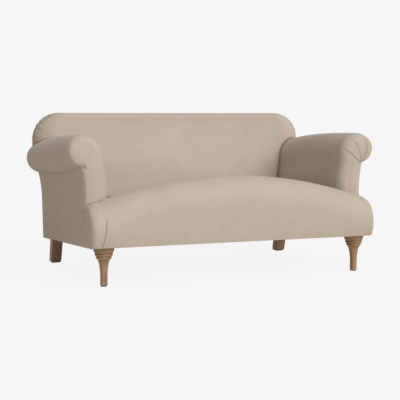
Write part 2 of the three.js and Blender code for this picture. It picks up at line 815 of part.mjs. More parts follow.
function addDustCover() {
  const top = -fitGap;
  const across = railHalfSpan - fitGap;
  const sheet = slab(
    -across, across, dustCoverInset, rearRailBack - fitGap, top - dustCoverThickness, top,
  );
  let cover = toSolid(sheet);
  for (const side of [-1, 1]) {
    for (const bolt of [frontBolt, rearScrew]) {
      const hole = boltGeometry(boltRadius + fitGap, -cutOverrun, cutOverrun);
      cover = cover.subtract(toSolid(hole.translate(side * bolt.across, bolt.along, 0)));
    }
  }
  addPiece(seatFrame, 'dust_cover', cover, dustCloth);
}

// A serpentine spring: one wire swinging from side to side, arched over the seat
class SerpentineCurve extends THREE.Curve {
  constructor(centreX) {
    super();
    this.centreX = centreX;
  }

  getPoint(share, target = new THREE.Vector3()) {
    const s = springStart + (springEnd - springStart) * share;
    const x = this.centreX + springSwing * Math.sin(2 * Math.PI * springWaves * share);
    return target.set(x, s, springHeight(s) + clipHeight / 2);
  }
}

function springClip(x, s) {
  const bottom = railHeight + fitGap;
  return toSolid(slab(
    x - clipWidth / 2, x + clipWidth / 2, s - clipLength / 2, s + clipLength / 2,
    bottom, bottom + clipHeight,
  ));
}

function addSprings() {
  const section = new THREE.Shape();
  for (let corner = 0; corner < springWireSides; corner += 1) {
    const turn = 2 * Math.PI * corner / springWireSides;
    const place = [springWireRadius * Math.cos(turn), springWireRadius * Math.sin(turn)];
    if (corner === 0) {
      section.moveTo(...place);
    } else {
      section.lineTo(...place);
    }
  }
  for (let count = 0; count < springCount; count += 1) {
    const x = springSpacing * (count - (springCount - 1) / 2);
    const extrudePath = new SerpentineCurve(x);
    const steps = springWaves * springStepsPerWave;
    const wire = new THREE.ExtrudeGeometry(section, { steps, bevelEnabled: false, extrudePath });
    const spring = toSolid(wire).add(springClip(x, springStart)).add(springClip(x, springEnd));
    addPiece(seatFrame, `seat_spring_${count + 1}`, spring, steel);
  }
}

function addHessian() {
  const lower = archLine(hessianUnderside, springStart, springEnd);
  const upper = lower.map(([s, h]) => [s, h + hessianThickness]).reverse();
  const sheet = extrudeAcross([...lower, ...upper], -hessianHalfWidth, hessianHalfWidth);
  addPiece(seatFrame, 'spring_hessian', sheet, hessian);
}

// Back frame, in places on the raked rear plane: x across, depth forward, w up the plane

const upPlane = (z) => (z - rearUnderside) / Math.cos(backRake);
const postBack = postSetback;
const postFront = postSetback + postDepth;
const postOuterHalf = postInnerHalf + postWidth;
const boardBack = outsideBackThickness + fitGap;
const boardFront = postBack - fitGap;

function postGeometry(side, grow) {
  const inner = side * (postInnerHalf - grow);
  const outer = side * (postOuterHalf + grow);
  const foot = upPlane(undersideZ(rearFootY - postFront)) + fitGap - grow;
  return slab(inner, outer, -postFront - grow, -postBack + grow, foot, upPlane(postTop) + grow);
}

function tieRailGeometry(grow) {
  const across = postOuterHalf + grow;
  const bottom = upPlane(tieRailBottom) - grow;
  const top = upPlane(tieRailBottom) + tieRailHeight + grow;
  return slab(-across, across, -boardFront - grow, -boardBack + grow, bottom, top);
}

const topRailShares = [0, 0.25, 0.5, 0.7, 0.85, 0.95];

// The shaped top rail follows the back's upper outline, drawn in by the padding
function topRailOutline(padding) {
  const half = [];
  const reach = backCornerWidth - padding;
  for (const share of topRailShares) {
    const turn = quarterTurn * share;
    const x = backStraightHalf + reach * Math.sin(turn);
    const outer = backTop(backStraightHalf + backCornerWidth * Math.sin(turn));
    half.push([x, upPlane(outer - padding)]);
  }
  return half;
}

function mirroredOutline(half) {
  return [...half, ...half.map(([x, w]) => [-x, w]).reverse()];
}

function topRailGeometry(grow) {
  const lowest = upPlane(topRailBottom) - grow;
  const ends = topRailOutline(topRailPadding - grow).filter(([, w]) => w > lowest);
  const outline = mirroredOutline([...ends, [ends.at(-1)[0], lowest]]);
  return extrudeForward(outline, boardBack - grow, boardFront + grow);
}

function backFrameSpace() {
  const outer = topRailOutline(topRailPadding - fitGap);
  const widest = outer.at(-1)[0];
  const outline = mirroredOutline([...outer, [widest, -cutOverrun]]);
  const depth = postBack + strapThickness + fitGap;
  return inWorld(extrudeForward(outline, -cutOverrun, depth), backFrame);
}

function addBackFrame() {
  for (const [side, word] of [[-1, 'left'], [1, 'right']]) {
    addPiece(backFrame, `back_post_${word}`, postGeometry(side, 0), frameWood);
  }
  addPiece(backFrame, 'back_top_rail', topRailGeometry(0), frameWood);
  addPiece(backFrame, 'back_tie_rail', tieRailGeometry(0), frameWood);
  const strapTop = upPlane(overallHeight - topRailPadding);
  for (let count = 0; count < strapCount; count += 1) {
    const x = strapSpacing * (count - (strapCount - 1) / 2);
    const strap = slab(
      x - strapWidth / 2, x + strapWidth / 2, -postBack - strapThickness, -postBack,
      upPlane(tieRailBottom), strapTop,
    );
    addPiece(backFrame, `back_webbing_${count + 1}`, strap, webbing);
  }
}

const backOutlineSteps = 6;

// The outside back closes the whole rear: body, roll ends and upper back in one outline
function addOutsideBack() {
  const half = [[bodyHalfWidth, 0]];
  for (const [x, z] of flareCurve(rollRearY, 0).reverse()) {
    half.push([x, upPlane(z)]);
  }
  const upperEdge = stationsAcross(
    backStraightHalf, backCornerWidth, [], backOutlineSteps, backLastShare,
  ).filter((x) => x > 0).reverse();
  const radius = rollRadius(rollRearY);
  const centreX = rollHalfSpan(rollRearY);
  const meetAngle = Math.acos((upperEdge[0] - centreX) / radius);
  for (let step = 0; step <= rollSteps; step += 1) {
    const turn = -neckAngle + (neckAngle + meetAngle) * step / rollSteps;
    const z = rollCentreZ(rollRearY) + radius * Math.sin(turn);
    half.push([centreX + radius * Math.cos(turn), upPlane(z)]);
  }
  for (const x of upperEdge) {
    half.push([x, upPlane(backTop(x) - backRearRollHeight)]);
  }
  const panel = extrudeForward(mirroredOutline(half), 0, outsideBackThickness);
  addPiece(backFrame, 'outside_back', panel, fabric);
}

// Arm frame: the shaped scroll board on its stump, the rail in the roll and the tie rail below

function scrollBoard(side) {
  const inset = foamSkin + armPadThickness + fitGap;
  const floor = undersideZ(boardFrontY) + railHeight / Math.cos(bodyFall) + fitGap;
  const ring = (y) => placed(side, y, [
    ...innerFace(inset, floor), ...armCurve(y, inset),
    ...flareCurve(y, outsideArmThickness + fitGap), [railHalfSpan, floor],
  ]);
  const board = cappedLoft([ring(boardFrontY), ring(boardBackY)]);
  const stumpOuter = railHalfSpan - railThickness - fitGap;
  const stumpInner = stumpOuter - postWidth;
  const stump = slab(
    side * stumpInner, side * stumpOuter, boardFrontY, boardBackY,
    undersideZ(boardFrontY) + fitGap, floor + fitGap,
  );
  return toSolid(board).add(toSolid(stump));
}

function addArmFrame(side, word) {
  addPiece(upright, `arm_scroll_board_${word}`, scrollBoard(side), frameWood);
  const front = boardBackY + fitGap;
  const rearRailZ = rollCentreZ(rollRearY) - armRailDrop;
  const frontRailZ = rollCentreZ(front) - armRailDrop;
  const railRear = (z) => rearY(z) - panelDepth - fitGap;
  const low = armRailHeight / 2;
  const rearLow = rearRailZ - low;
  const rearHigh = rearRailZ + low;
  const inner = postOuterHalf + fitGap;
  const rail = extrudeAcross([
    [front, frontRailZ - low], [railRear(rearLow), rearLow],
    [railRear(rearHigh), rearHigh], [front, frontRailZ + low],
  ], side * inner, side * (inner + armRailWidth));
  addPiece(upright, `arm_rail_${word}`, rail, frameWood);
  const tieFall = (y) => armTieTop - (y - front) * Math.tan(bodyFall);
  const tieRear = (z) => rearY(z) - (postFront + fitGap) / Math.cos(backRake);
  const rearTop = tieFall(tieRear(armTieTop));
  const rearBottom = rearTop - armTieHeight;
  const tie = extrudeAcross([
    [front, armTieTop - armTieHeight], [tieRear(rearBottom), rearBottom],
    [tieRear(rearTop), rearTop], [front, armTieTop],
  ], side * postInnerHalf, side * postOuterHalf);
  addPiece(upright, `arm_tie_rail_${word}`, tie, frameWood);
}

// Upholstery

function addArmUpholstery(side, word, seatFront) {
  const space = frameSpace(halfWidth);
  const post = inWorld(postGeometry(side, fitGap), backFrame);
  const tieRail = inWorld(tieRailGeometry(fitGap), backFrame);
  const topRail = inWorld(topRailGeometry(fitGap), backFrame);
  const trims = [outsideArm(side, fitGap), seatFront, space, post, tieRail, topRail];
  const trimmed = (body) => trims.reduce((left, trim) => left.subtract(trim), body);
  const pad = trimmed(armBody(side, foamSkin, 0)).subtract(armHollow(side));
  const cover = trimmed(armBody(side, 0, 0).subtract(armBody(side, coverThickness, cutOverrun)));
  addPiece(upright, `arm_pad_${word}`, pad, foam);
  addPiece(upright, `arm_cover_${word}`, cover, fabric);
  addPiece(upright, `outside_arm_${word}`, outsideArm(side, 0), fabric);
}

function addBackUpholstery() {
  const armCutters = [-1, 1].map((side) => armBody(side, -fitGap, cutOverrun));
  const space = frameSpace(halfWidth);
  const posts = [-1, 1].map((side) => inWorld(postGeometry(side, fitGap), backFrame));
  const solidBack = trimBackToArms(backBody(foamSkin, 0), armCutters).subtract(space);
  const pad = posts.reduce((left, post) => left.subtract(post), solidBack.subtract(backFrameSpace()));
  const shell = backBody(0, 0).subtract(backBody(coverThickness, cutOverrun));
  const cover = trimBackToArms(shell, armCutters).subtract(space);
  addPiece(upright, 'back_foam', pad, foam);
  addPiece(upright, 'back_cover', cover, fabric);
}

function addSeatUpholstery() {
  const backCutter = backBody(-fitGap, 0);
  const inside = seatBody(coverThickness, cutOverrun);
  const space = frameSpace(railHalfSpan + fitGap);
  const pad = seatBody(foamSkin, 0).intersect(inside).subtract(backCutter).subtract(space);
  const cover = seatBody(0, 0).subtract(inside).subtract(backCutter);
  addPiece(upright, 'seat_foam', pad, foam);
  addPiece(upright, 'seat_cover', cover, fabric);
}

// Legs

// Everything above the dust cover, so that a leg's top lies along the underside
function aboveLegs() {
  const wide = overallWidth;
  return inWorld(slab(-wide, wide, -overallDepth, 2 * overallDepth, -legTopGap, overallHeight), seatFrame);
}

function legBore(side, bolt) {
  const bore = boltGeometry(boltRadius + fitGap, -boltDepthInLeg - fitGap, cutOverrun);
  return inWorld(bore.translate(side * bolt.across, bolt.along, 0), seatFrame);
}

function frontLeg(side) {
  const foot = glideHeight + fitGap;
  const height = undersideZ(frontLegY) - foot;
  const outline = turningShares.map(([up, out]) => new THREE.Vector2(frontLegRadius * out, height * up));
  const above = height + frontLegRadius * Math.tan(bodyFall) + fitGap;
  const profile = [
    new THREE.Vector2(0, 0), ...outline, new THREE.Vector2(frontLegRadius, above),
    new THREE.Vector2(0, above),
  ];
  const turned = new THREE.LatheGeometry(profile, frontLegSegments).rotateX(quarterTurn);
  return toSolid(turned.translate(side * frontLegHalfSpan, frontLegY, foot));
}

function squareRing(side, y, z, size) {
  const half = size / 2;
  const flat = half - rearLegChamfer;
  const corners = [
    [flat, -half], [half, -flat], [half, flat], [flat, half],
    [-flat, half], [-half, flat], [-half, -flat], [-flat, -half],
  ];
  return corners.map(([x, back]) => new THREE.Vector3(side * rearLegHalfSpan + x, y + back, z));
}

function rearLeg(side) {
  const foot = glideHeight + fitGap;
  const top = rearUnderside + rearLegTopSize;
  const lean = (rearLegFootY - rearLegTopY) / (rearUnderside - foot);
  const taper = (rearLegTopSize - rearLegFootSize) / (rearUnderside - foot);
  const rings = [foot, top].map((z) => {
    const up = z - foot;
    return squareRing(side, rearLegFootY - lean * up, z, rearLegFootSize + taper * up);
  });
  return toSolid(loft(rings, ringCentre(rings[0]), ringCentre(rings[1])));
}

function addLegs() {
  const above = aboveLegs();
  for (const [side, word] of [[-1, 'left'], [1, 'right']]) {
    const front = frontLeg(side).subtract(above).subtract(legBore(side, frontBolt));
    addPiece(upright, `leg_front_${word}`, front, legWood);
    const rear = rearLeg(side).subtract(above).subtract(legBore(side, rearScrew));
    addPiece(upright, `leg_rear_${word}`, rear, legWood);
    const disc = new THREE.CylinderGeometry(
      frontGlideRadius, frontGlideRadius, glideHeight, frontLegSegments,
    ).rotateX(quarterTurn).translate(side * frontLegHalfSpan, frontLegY, glideHeight / 2);
    addPiece(upright, `glide_front_${word}`, disc, felt);
    const half = rearGlideSize / 2;
    const centre = side * rearLegHalfSpan;
    const square = slab(
      centre - half, centre + half, rearLegFootY - half, rearLegFootY + half, 0, glideHeight,
    );
    addPiece(upright, `glide_rear_${word}`, square, felt);
  }
}

addRails();
addCorners();
addDustCover();
addSprings();
addHessian();
addBackFrame();
addOutsideBack();
const seatFront = seatFrontCutter();
for (const [side, word] of [[-1, 'left'], [1, 'right']]) {
  addArmFrame(side, word);
  addArmUpholstery(side, word, seatFront);
}
addBackUpholstery();
addSeatUpholstery();
addLegs();

export default sofa;
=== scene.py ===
"""English roll arm sofa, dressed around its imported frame.

Metres, +X to the viewer's right, +Y to the rear, +Z up. The sofa stands on the floor at z = 0.
"""

import json
import math

import bmesh
import bpy
import numpy as np
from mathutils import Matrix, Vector


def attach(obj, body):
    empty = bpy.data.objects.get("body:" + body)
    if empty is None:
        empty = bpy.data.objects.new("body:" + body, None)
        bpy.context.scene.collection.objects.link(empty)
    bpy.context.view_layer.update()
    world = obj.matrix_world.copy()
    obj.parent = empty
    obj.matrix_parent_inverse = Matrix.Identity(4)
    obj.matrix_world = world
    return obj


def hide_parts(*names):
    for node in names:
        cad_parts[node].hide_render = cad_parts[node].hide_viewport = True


MM = 0.001
DEGREE = math.pi / 180
QUARTER = math.pi / 2
SIDES = ((-1, "left"), (1, "right"))

# Camera, fitted to the photograph
CAMERA_PLACE = (-2.060, -5.011, 0.785)
CAMERA_YAW = -22.22 * DEGREE
CAMERA_PITCH = 85.44 * DEGREE
SENSOR_WIDTH = 36.0
FOCAL_LENGTH = 93.1
CAMERA_REACH = 100

# Overall size and stance, as the frame has them
HALF_WIDTH = 826 * MM
HALF_DEPTH = 505 * MM
HEIGHT = 810 * MM
FRONT_UNDERSIDE = 185.5 * MM
REAR_UNDERSIDE = 140 * MM
BACK_RAKE = 4.8 * DEGREE
BODY_HALF = 744 * MM
CLEARANCE = 0.3 * MM
CUT_CLEARANCE = 0.5 * MM
FAR = 100 * MM

# Seat
SEAT_CREST = 500 * MM
SEAT_CROSS_DROP = 88 * MM
SEAT_PITCH_DROP = 74 * MM
SEAT_CORNER_DROP = 32 * MM
SEAT_BULGE = 19 * MM
NOSE_DEPTH = 120 * MM
NOSE_HEIGHT = 120 * MM
NOSE_SHARE = 0.62
NOSE_END_SHARE = 0.5
CREST_Y = -300 * MM
SEAT_BACK_Y = 300 * MM
SEAT_REAR_Y = 400 * MM
END_HALF = 746 * MM
END_ROUND = 56 * MM
END_WIDEST = 340 * MM
END_TUCK = 4 * MM
END_PLAN_RADIUS = 30 * MM
END_REAR_Y = -355.3 * MM
TUCK_RADIUS = 16 * MM
END_DENSE_Y = -345 * MM
END_SEAM_Y = -371 * MM
END_SEAM_ROUND = 14 * MM
END_SEAM_DEPTH = 4 * MM
END_SEAM_WIDTH = 2.8 * MM
SEAT_TOP_LAYER = 40 * MM
SEAT_TOP_SHARE = 0.6
# How far the painted shade reaches from the seat's joins with the arms and the back
SEAT_CREASE_WIDTH = 6 * MM

# The fold down the seat's left front corner, from foot to top
DART = ((695 * MM, 190 * MM), (677 * MM, 262 * MM), (675 * MM, 334 * MM))
DART_STRETCH = (655 * MM, 702 * MM)
DART_DEPTH = 2.6 * MM
DART_HALF_WIDTH = 1.9 * MM

# Arms
ARM_INNER = 617 * MM
ARM_LEAN = 16 * MM
LEAN_FOOT = 440 * MM
ARM_FACE_Y = -312 * MM
ARM_FACE_BULGE = 54 * MM
ARM_FACE_TUCK = 52 * MM
ARM_OUTER_TUCK = 20 * MM
ARM_FACE_CROWN = 5 * MM
ARM_FACE_SHARE = 0.94
ARM_REAR_RUN = 60 * MM
ROLL_END_RADIUS = 78 * MM
ROLL_SWELL = 18 * MM
ROLL_SWELL_INWARD = 12 * MM
NECK_ANGLE = 77 * DEGREE
ROLL_TOP = 704 * MM
ROLL_FALL = 58 * MM
ROLL_FALL_POWER = 2.5
ROLL_BLEND_SHARE = 0.45
SHOULDER = 585 * MM
FLARE_HEIGHT = 140 * MM
# Painted shade where the back meets an arm: how far it reaches, and how dark it is on each arm
ARM_CREASE_WIDTH = 5 * MM
ARM_CREASE_REACH = 60 * MM
ARM_CREASE_SHADES = {-1: 0.3, 1: 0.8}

# Pleats on the scroll's face, in places across and up, hardly drawn in on the left arm
PLEATS = (
    ((737 * MM, 545 * MM), (695 * MM, 594 * MM), (638 * MM, 628 * MM)),
    ((737 * MM, 545 * MM), (738 * MM, 629 * MM), (690 * MM, 679 * MM)),
    ((737 * MM, 545 * MM), (799 * MM, 614 * MM), (757 * MM, 690 * MM)),
)
PLEAT_DEPTH = 3.0 * MM
PLEAT_LEFT_SHARE = 0.1
PLEAT_HALF_WIDTH = 2.6 * MM
# Width of the painted shade along a pleat, as a share of its half width
PLEAT_SHADE_SHARE = 0.6
PLEAT_SETBACK = 6 * MM
FOLD_FADE = 6

# The pucker at the arm's neck
PUCKER_INWARD = 18 * MM
PUCKER_RISE = 2 * MM
PUCKER_DEPTH = 5 * MM
PUCKER_WIDTH = 11 * MM
# Painted shade in the pucker: how dark, and how wide
PUCKER_SHADE = 0.6
PUCKER_SHADE_WIDTH = 6 * MM

# Outside arm panels
UNDER_PANEL_DEPTH = 12 * MM
UNDER_PANEL_RISE = 8 * MM
STEP_TOP = 345 * MM
STEP_Y = -304 * MM
PANEL_THICKNESS = 3.4 * MM
PANEL_TUCK = 1.5 * MM

# Back
BACK_HALF = 788 * MM
BACK_CORNER = 136 * MM
BACK_SHOULDER = 680 * MM
BACK_FULLNESS = 1.85
BACK_ROLL_DEPTH = 12 * MM
BACK_ROLL_HEIGHT = 14 * MM
BACK_FRONT_ROLL = 24 * MM
BACK_TOP_THICKNESS = 120 * MM
BACK_SIDE_THICKNESS = 130 * MM
BACK_LUMBAR = 65 * MM
LUMBAR_HEIGHT = 472 * MM
BACK_SIDE_ROUND = 115 * MM
BACK_SIDE_SHARE = 0.17
BACK_SIDE_FULLNESS = 1.7
BACK_FLOOR = 200 * MM
BACK_FACE_LAYER = 20 * MM
BACK_EDGE_REACH = 40 * MM
# Painted shade where the back meets the arms: how far it reaches, and its share on the left
BACK_CREASE_WIDTH = 5 * MM
BACK_CREASE_SHADE_LEFT = 0.5
OUTSIDE_BACK = 5 * MM
OUTSIDE_BACK_ROUND = ((OUTSIDE_BACK, 0), (1.2 * MM, 0), (0.3 * MM, 0.5 * MM), (0, 1.6 * MM))
BACK_MEET_SHARE = 0.95
PAD_REST = 110 * MM
POST_COVER = 2 * MM

# Gathers at the back's rear corners, placed by shares of the quarter turn round each corner
GATHER_SHARES = (0.27, 0.53, 0.70)
GATHER_DROP_SHARE = 0.3
GATHER_DEPTH = 4.5 * MM
GATHER_HALF_WIDTH = 3.0 * MM
GATHER_REACH = 26 * MM
GATHER_LENGTH = 110 * MM
GATHER_FADE = 1.5
# Painted shade along the back's upper sides: how dark, and how far in it reaches
RIM_SHADE = 0.4
RIM_SHADE_WIDTH = 22 * MM

# The cloth's unevenness, as the height and the size of its waves
SEAT_WAVES = (0.8 * MM, 170 * MM)
NOSE_WAVES = (0.6 * MM, 130 * MM)
ARM_WAVES = (0.7 * MM, 150 * MM)
BACK_WAVES = (0.9 * MM, 190 * MM)
WAVE_COURSES = ((1.0, 0.31, 0.57, 0.4), (-0.42, 1.0, 0.36, 2.1), (0.28, -0.63, 1.0, 4.0), (0.8, 0.7, -0.5, 5.2))

# Mesh spacing and counts of points
DENSE = 1.6 * MM
MEDIUM = 7 * MM
COARSE = 12 * MM
MERGE = 0.15 * MM
SLIVER = 0.05 * MM
SMOOTH_ANGLE = 38 * DEGREE
ROUND_SHARE = 0.985
SEAT_ROUND_STEPS = 30
BACK_ROUND_STEPS = 120
UNDER_SEAT_STEPS = (8, 56)
SEAT_FRONT_STEPS = 26
NOSE_STEPS = 30
SEAT_TOP_STEPS = (24, 92)
STEM_STEPS = 40
LEAN_STEPS = 34
SHOULDER_STEPS = 40
ROLL_STEPS = 80
NECK_STEPS = 12
FLARE_STEPS = 24
FACE_STEPS = 24
SPINE_STEPS = 12
PANEL_FLARE_STEPS = 22
PANEL_HEM_STEPS = 26
PANEL_SKIN_POINTS = PANEL_FLARE_STEPS + PANEL_HEM_STEPS - 2
BACK_REAR_STEPS = 40
BACK_ROLL_STEPS = 16
BACK_TOP_STEPS = 24
BACK_FACE_STEPS = 110
BACK_FACE_POWER = 1.4
REAR_PANEL_STEPS = (12, 24, 40)

# Legs
FRONT_LEG_X = 668 * MM
FRONT_LEG_Y = -419 * MM
FRONT_LEG_RADIUS = 51 * MM
REAR_LEG_X = 676 * MM
REAR_LEG_TOP_Y = 423 * MM
REAR_LEG_FOOT_Y = 461 * MM
REAR_LEG_TOP = 57 * MM
REAR_LEG_FOOT = 54 * MM
REAR_LEG_BEVEL = 3 * MM
REAR_LEG_RINGS = 16
BEVEL_STEPS = 5
LEG_TOP_GAP = 2.1 * MM
GLIDE = 4.3 * MM
TURNED_SIDES = 96
TURNING_STEPS = 5
TURNING_EASINGS = 6
LEDGE_SHARES = (0.695, 0.865)
TURNING_SHARES = [
    (0, 0.32), (0.008, 0.345), (0.1, 0.335), (0.3, 0.337), (0.43, 0.363), (0.55, 0.435), (0.64, 0.51),
    (0.7, 0.59), (0.712, 0.69), (0.735, 0.73), (0.762, 0.7), (0.772, 0.66),
    (0.782, 0.78), (0.812, 0.84), (0.84, 0.82), (0.852, 0.76),
    (0.862, 0.85), (0.895, 0.91), (0.935, 0.955), (1, 1),
]

# Colours as they look in even light, and the colour of the painted shade in seams, folds and joins
FABRIC_COLOUR = (201, 188, 175)
FABRIC_DARK = (189, 176, 163)
# Painted shade: the colour that the fabric darkens towards in seams, folds, pleats and joins
CREASE_SHADE_COLOUR = (96, 84, 70)
WOOD_COLOUR = (163, 131, 100)
WOOD_DARK = (128, 97, 68)
TIMBER_COLOUR = (214, 184, 138)
TIMBER_DARK = (180, 146, 100)
STEEL_COLOUR = (160, 162, 164)
STEEL_DARK = (120, 122, 124)
BACKGROUND_COLOUR = (246, 246, 246)

# The fabric's and the wood's grain
MOTTLE_SCALE = 9
THREAD_SCALE = 60
THREAD_STRETCH = 7
SLUB_SHADES = ((0.36, 0.9), (0.5, 1.0), (0.64, 1.08))
SLUB_SHARE = 0.6
# How far the painted shade darkens the fabric towards its shade colour, at most
CREASE_SHADE_SHARE = 0.62
WEAVE_SCALE = 210
GRAIN_STRETCH = (28, 2.2)
PORE_STRETCH = (240, 9)

# Light and floor
KEY_ANGLE = 50 * DEGREE
KEY_TURN = 20 * DEGREE
KEY_RISE = 38 * DEGREE
KEY_STRENGTH = 2.14
WORLD_STRENGTH = 0.345
WORLD_COLOUR = (1.0, 0.96, 0.88, 1.0)
FLOOR_COLOUR = (0.8, 0.77, 0.7, 1.0)
FLOOR_GLOW = (248.3, 248.5, 248.8)
FLOOR_SHADE_SHARE = 0.06
FLOOR_SIZE = 40

# Places worked out from the sizes above
BACK_STRAIGHT_HEIGHT = HEIGHT - BACK_ROLL_HEIGHT
ROLL_END_X = HALF_WIDTH - ROLL_END_RADIUS - ROLL_SWELL + ROLL_SWELL_INWARD
FACE_Y = -HALF_DEPTH + SEAT_BULGE
PANEL_DEPTH = (OUTSIDE_BACK + CLEARANCE) / math.cos(BACK_RAKE)


def rear_y(z):
    """The raked rear plane's place at a height."""
    return HALF_DEPTH - (BACK_STRAIGHT_HEIGHT - z) * math.tan(BACK_RAKE)


FALL = math.atan2(FRONT_UNDERSIDE - REAR_UNDERSIDE, rear_y(REAR_UNDERSIDE) - FACE_Y)
ROLL_REAR_Y = rear_y(ROLL_TOP - ROLL_END_RADIUS)


def underside_z(y):
    """The height of the body's underside, which falls towards the rear."""
    return FRONT_UNDERSIDE - (y - FACE_Y) * math.tan(FALL)


def along_arm(y):
    """The share of the way along an arm, from its front to its rear."""
    return np.clip((y - ARM_FACE_Y) / (ROLL_REAR_Y - ARM_FACE_Y), 0, 1)


def roll_drop(y):
    """How far the arm has fallen at a place along it."""
    return ROLL_FALL * along_arm(y) ** ROLL_FALL_POWER


def roll_swell(y):
    """How far the roll has swollen at a place along it, from 0 at its ends to 1 midway."""
    return 1 - np.square(2 * along_arm(y) - 1)


def roll_radius(y):
    """The roll's radius at a place along the arm."""
    return ROLL_END_RADIUS + ROLL_SWELL * roll_swell(y)


def roll_x(y):
    """How far out the roll's centre lies."""
    return ROLL_END_X - ROLL_SWELL_INWARD * roll_swell(y)


def roll_z(y):
    """The height of the roll's centre."""
    return ROLL_TOP - roll_drop(y) - roll_radius(y)


def neck_x(y):
    """How far out the neck lies, where the roll meets the outside panel."""
    return roll_x(y) + roll_radius(y) * math.cos(NECK_ANGLE)


def neck_z(y):
    """The height of the neck."""
    return roll_z(y) - roll_radius(y) * math.sin(NECK_ANGLE)


def drawn_in(share):
    """How far a round end has drawn in at a share of its way to the tip."""
    return 1 - np.sqrt(np.clip(1 - np.square(share), 0, 1))


def bell(distance, width):
    """A bell curve over a distance, 1 at its middle."""
    return np.exp(-np.square(distance / width))


def linear(colour):
    """A colour of 0 to 255 as the linear values that a shader takes."""
    shares = [value / 255 for value in colour]
    return tuple(s / 12.92 if s <= 0.04045 else ((s + 0.055) / 1.055) ** 2.4 for s in shares) + (1.0,)


def evenly(start, end, spacing):
    """Places from start to end about a spacing apart."""
    return np.linspace(start, end, max(2, int(round(abs(end - start) / spacing)) + 1))


# Mesh tools

def new_object(name, vertices, faces):
    """A mesh object from plain lists, with its doubled points merged and its faces turned out."""
    mesh = bpy.data.meshes.new(name)
    mesh.from_pydata([tuple(v) for v in vertices], [], faces)
    tidy = bmesh.new()
    tidy.from_mesh(mesh)
    bmesh.ops.remove_doubles(tidy, verts=tidy.verts, dist=MERGE)
    bmesh.ops.dissolve_degenerate(tidy, edges=tidy.edges, dist=SLIVER)
    bmesh.ops.recalc_face_normals(tidy, faces=tidy.faces)
    tidy.to_mesh(mesh)
    tidy.free()
    obj = bpy.data.objects.new(name, mesh)
    bpy.context.scene.collection.objects.link(obj)
    return obj


def loft(name, rings):
    """A closed body through rings of equally many points, its ends closed flat."""
    rings = np.asarray(rings)
    count, width = rings.shape[:2]
    faces = []
    for row in range(count - 1):
        for col in range(width):
            after = (col + 1) % width
            base = row * width
            faces.append((base + col, base + after, base + width + after, base + width + col))
    faces.append(tuple(range(width)))
    faces.append(tuple(reversed(range((count - 1) * width, count * width))))
    return new_object(name, rings.reshape(-1, 3), faces)


def slab(name, low, high):
    """A box between two corners, used to cut with."""
    corners = [(x, y, z) for x in (low[0], high[0]) for y in (low[1], high[1]) for z in (low[2], high[2])]
    faces = [(0, 1, 3, 2), (4, 6, 7, 5), (0, 4, 5, 1), (2, 3, 7, 6), (0, 2, 6, 4), (1, 5, 7, 3)]
    return new_object(name, corners, faces)


def drop(obj):
    """Deletes an object that was only used to shape another."""
    bpy.data.objects.remove(obj, do_unlink=True)


def combine(obj, other, operation):
    """Adds another object's room to an object or takes it out, as the operation says."""
    step = obj.modifiers.new("combine", "BOOLEAN")
    step.operation = operation
    step.solver = "MANIFOLD"
    step.object = other
    bpy.context.view_layer.update()
    shape = bpy.data.meshes.new_from_object(obj.evaluated_get(bpy.context.evaluated_depsgraph_get()))
    obj.modifiers.clear()
    obj.data = shape


def cut(obj, cutter):
    """Takes the cutter's room out of an object."""
    combine(obj, cutter, "DIFFERENCE")


def cut_once(obj, cutter):
    """Takes a cutter's room out of an object and deletes the cutter."""
    cut(obj, cutter)
    drop(cutter)


def triples(items, name):
    """A value of three numbers from each item of a mesh, as an array."""
    flat = np.zeros(len(items) * 3)
    items.foreach_get(name, flat)
    return flat.reshape(-1, 3)


def set_points(obj, places):
    """Writes an array of places to the object's points."""
    obj.data.vertices.foreach_set("co", np.ascontiguousarray(places).reshape(-1))
    obj.data.update()


def keep_painted_shade(obj, values):
    """Keeps how much painted shade a point gets, from 0 to 1, where it lies in a seam, fold, pleat or join, to
    darken the fabric's colour there.
    """
    layer = obj.data.attributes.new("painted_shade", "FLOAT", "POINT")
    layer.data.foreach_set("value", np.clip(values, 0, 1).astype(np.float32))


def unevenness(p, waves):
    """A soft, fixed unevenness with waves of about a height and a size."""
    height, size = waves
    total = np.zeros(len(p))
    for a, b, c, start in WAVE_COURSES:
        total += np.sin((a * p[:, 0] + b * p[:, 1] + c * p[:, 2]) * 2 * math.pi / size + start)
    return height * (total / len(WAVE_COURSES))


def curve_through(start, bend, end):
    """Points on a curve from start to end that leans towards a bend."""
    t = np.linspace(0, 1, 40)[:, None]
    start, bend, end = (np.asarray(v, float) for v in (start, bend, end))
    return (1 - t) ** 2 * start + 2 * t * (1 - t) * bend + t ** 2 * end


def nearest_on_line(p, line):
    """The place on a line of points nearest to each point, its distance, and how far along it is."""
    best = np.full(len(p), np.inf)
    along = np.zeros(len(p))
    places = np.zeros((len(p), len(line[0])))
    for step in range(len(line) - 1):
        a = line[step]
        d = line[step + 1] - a
        t = np.clip(((p - a) @ d) / max(d @ d, 1e-12), 0, 1)
        there = a + t[:, None] * d
        reach = np.linalg.norm(p - there, axis=1)
        nearer = reach < best
        best[nearer] = reach[nearer]
        places[nearer] = there[nearer]
        along[nearer] = (step + t[nearer]) / (len(line) - 1)
    return places, best, along


def fold_at(p, fold):
    """Each point's distance to a fold, and how strong the fold is there, as it fades at its end."""
    _, reach, along = nearest_on_line(p, curve_through(*fold))
    return reach, np.clip((1 - along) * FOLD_FADE, 0, 1)


def rounded_edge(distance):
    """How far a surface has rolled down at a distance from the edge that it rolls into."""
    return TUCK_RADIUS * drawn_in(1 - np.clip(distance / TUCK_RADIUS, 0, 1))


# Seat

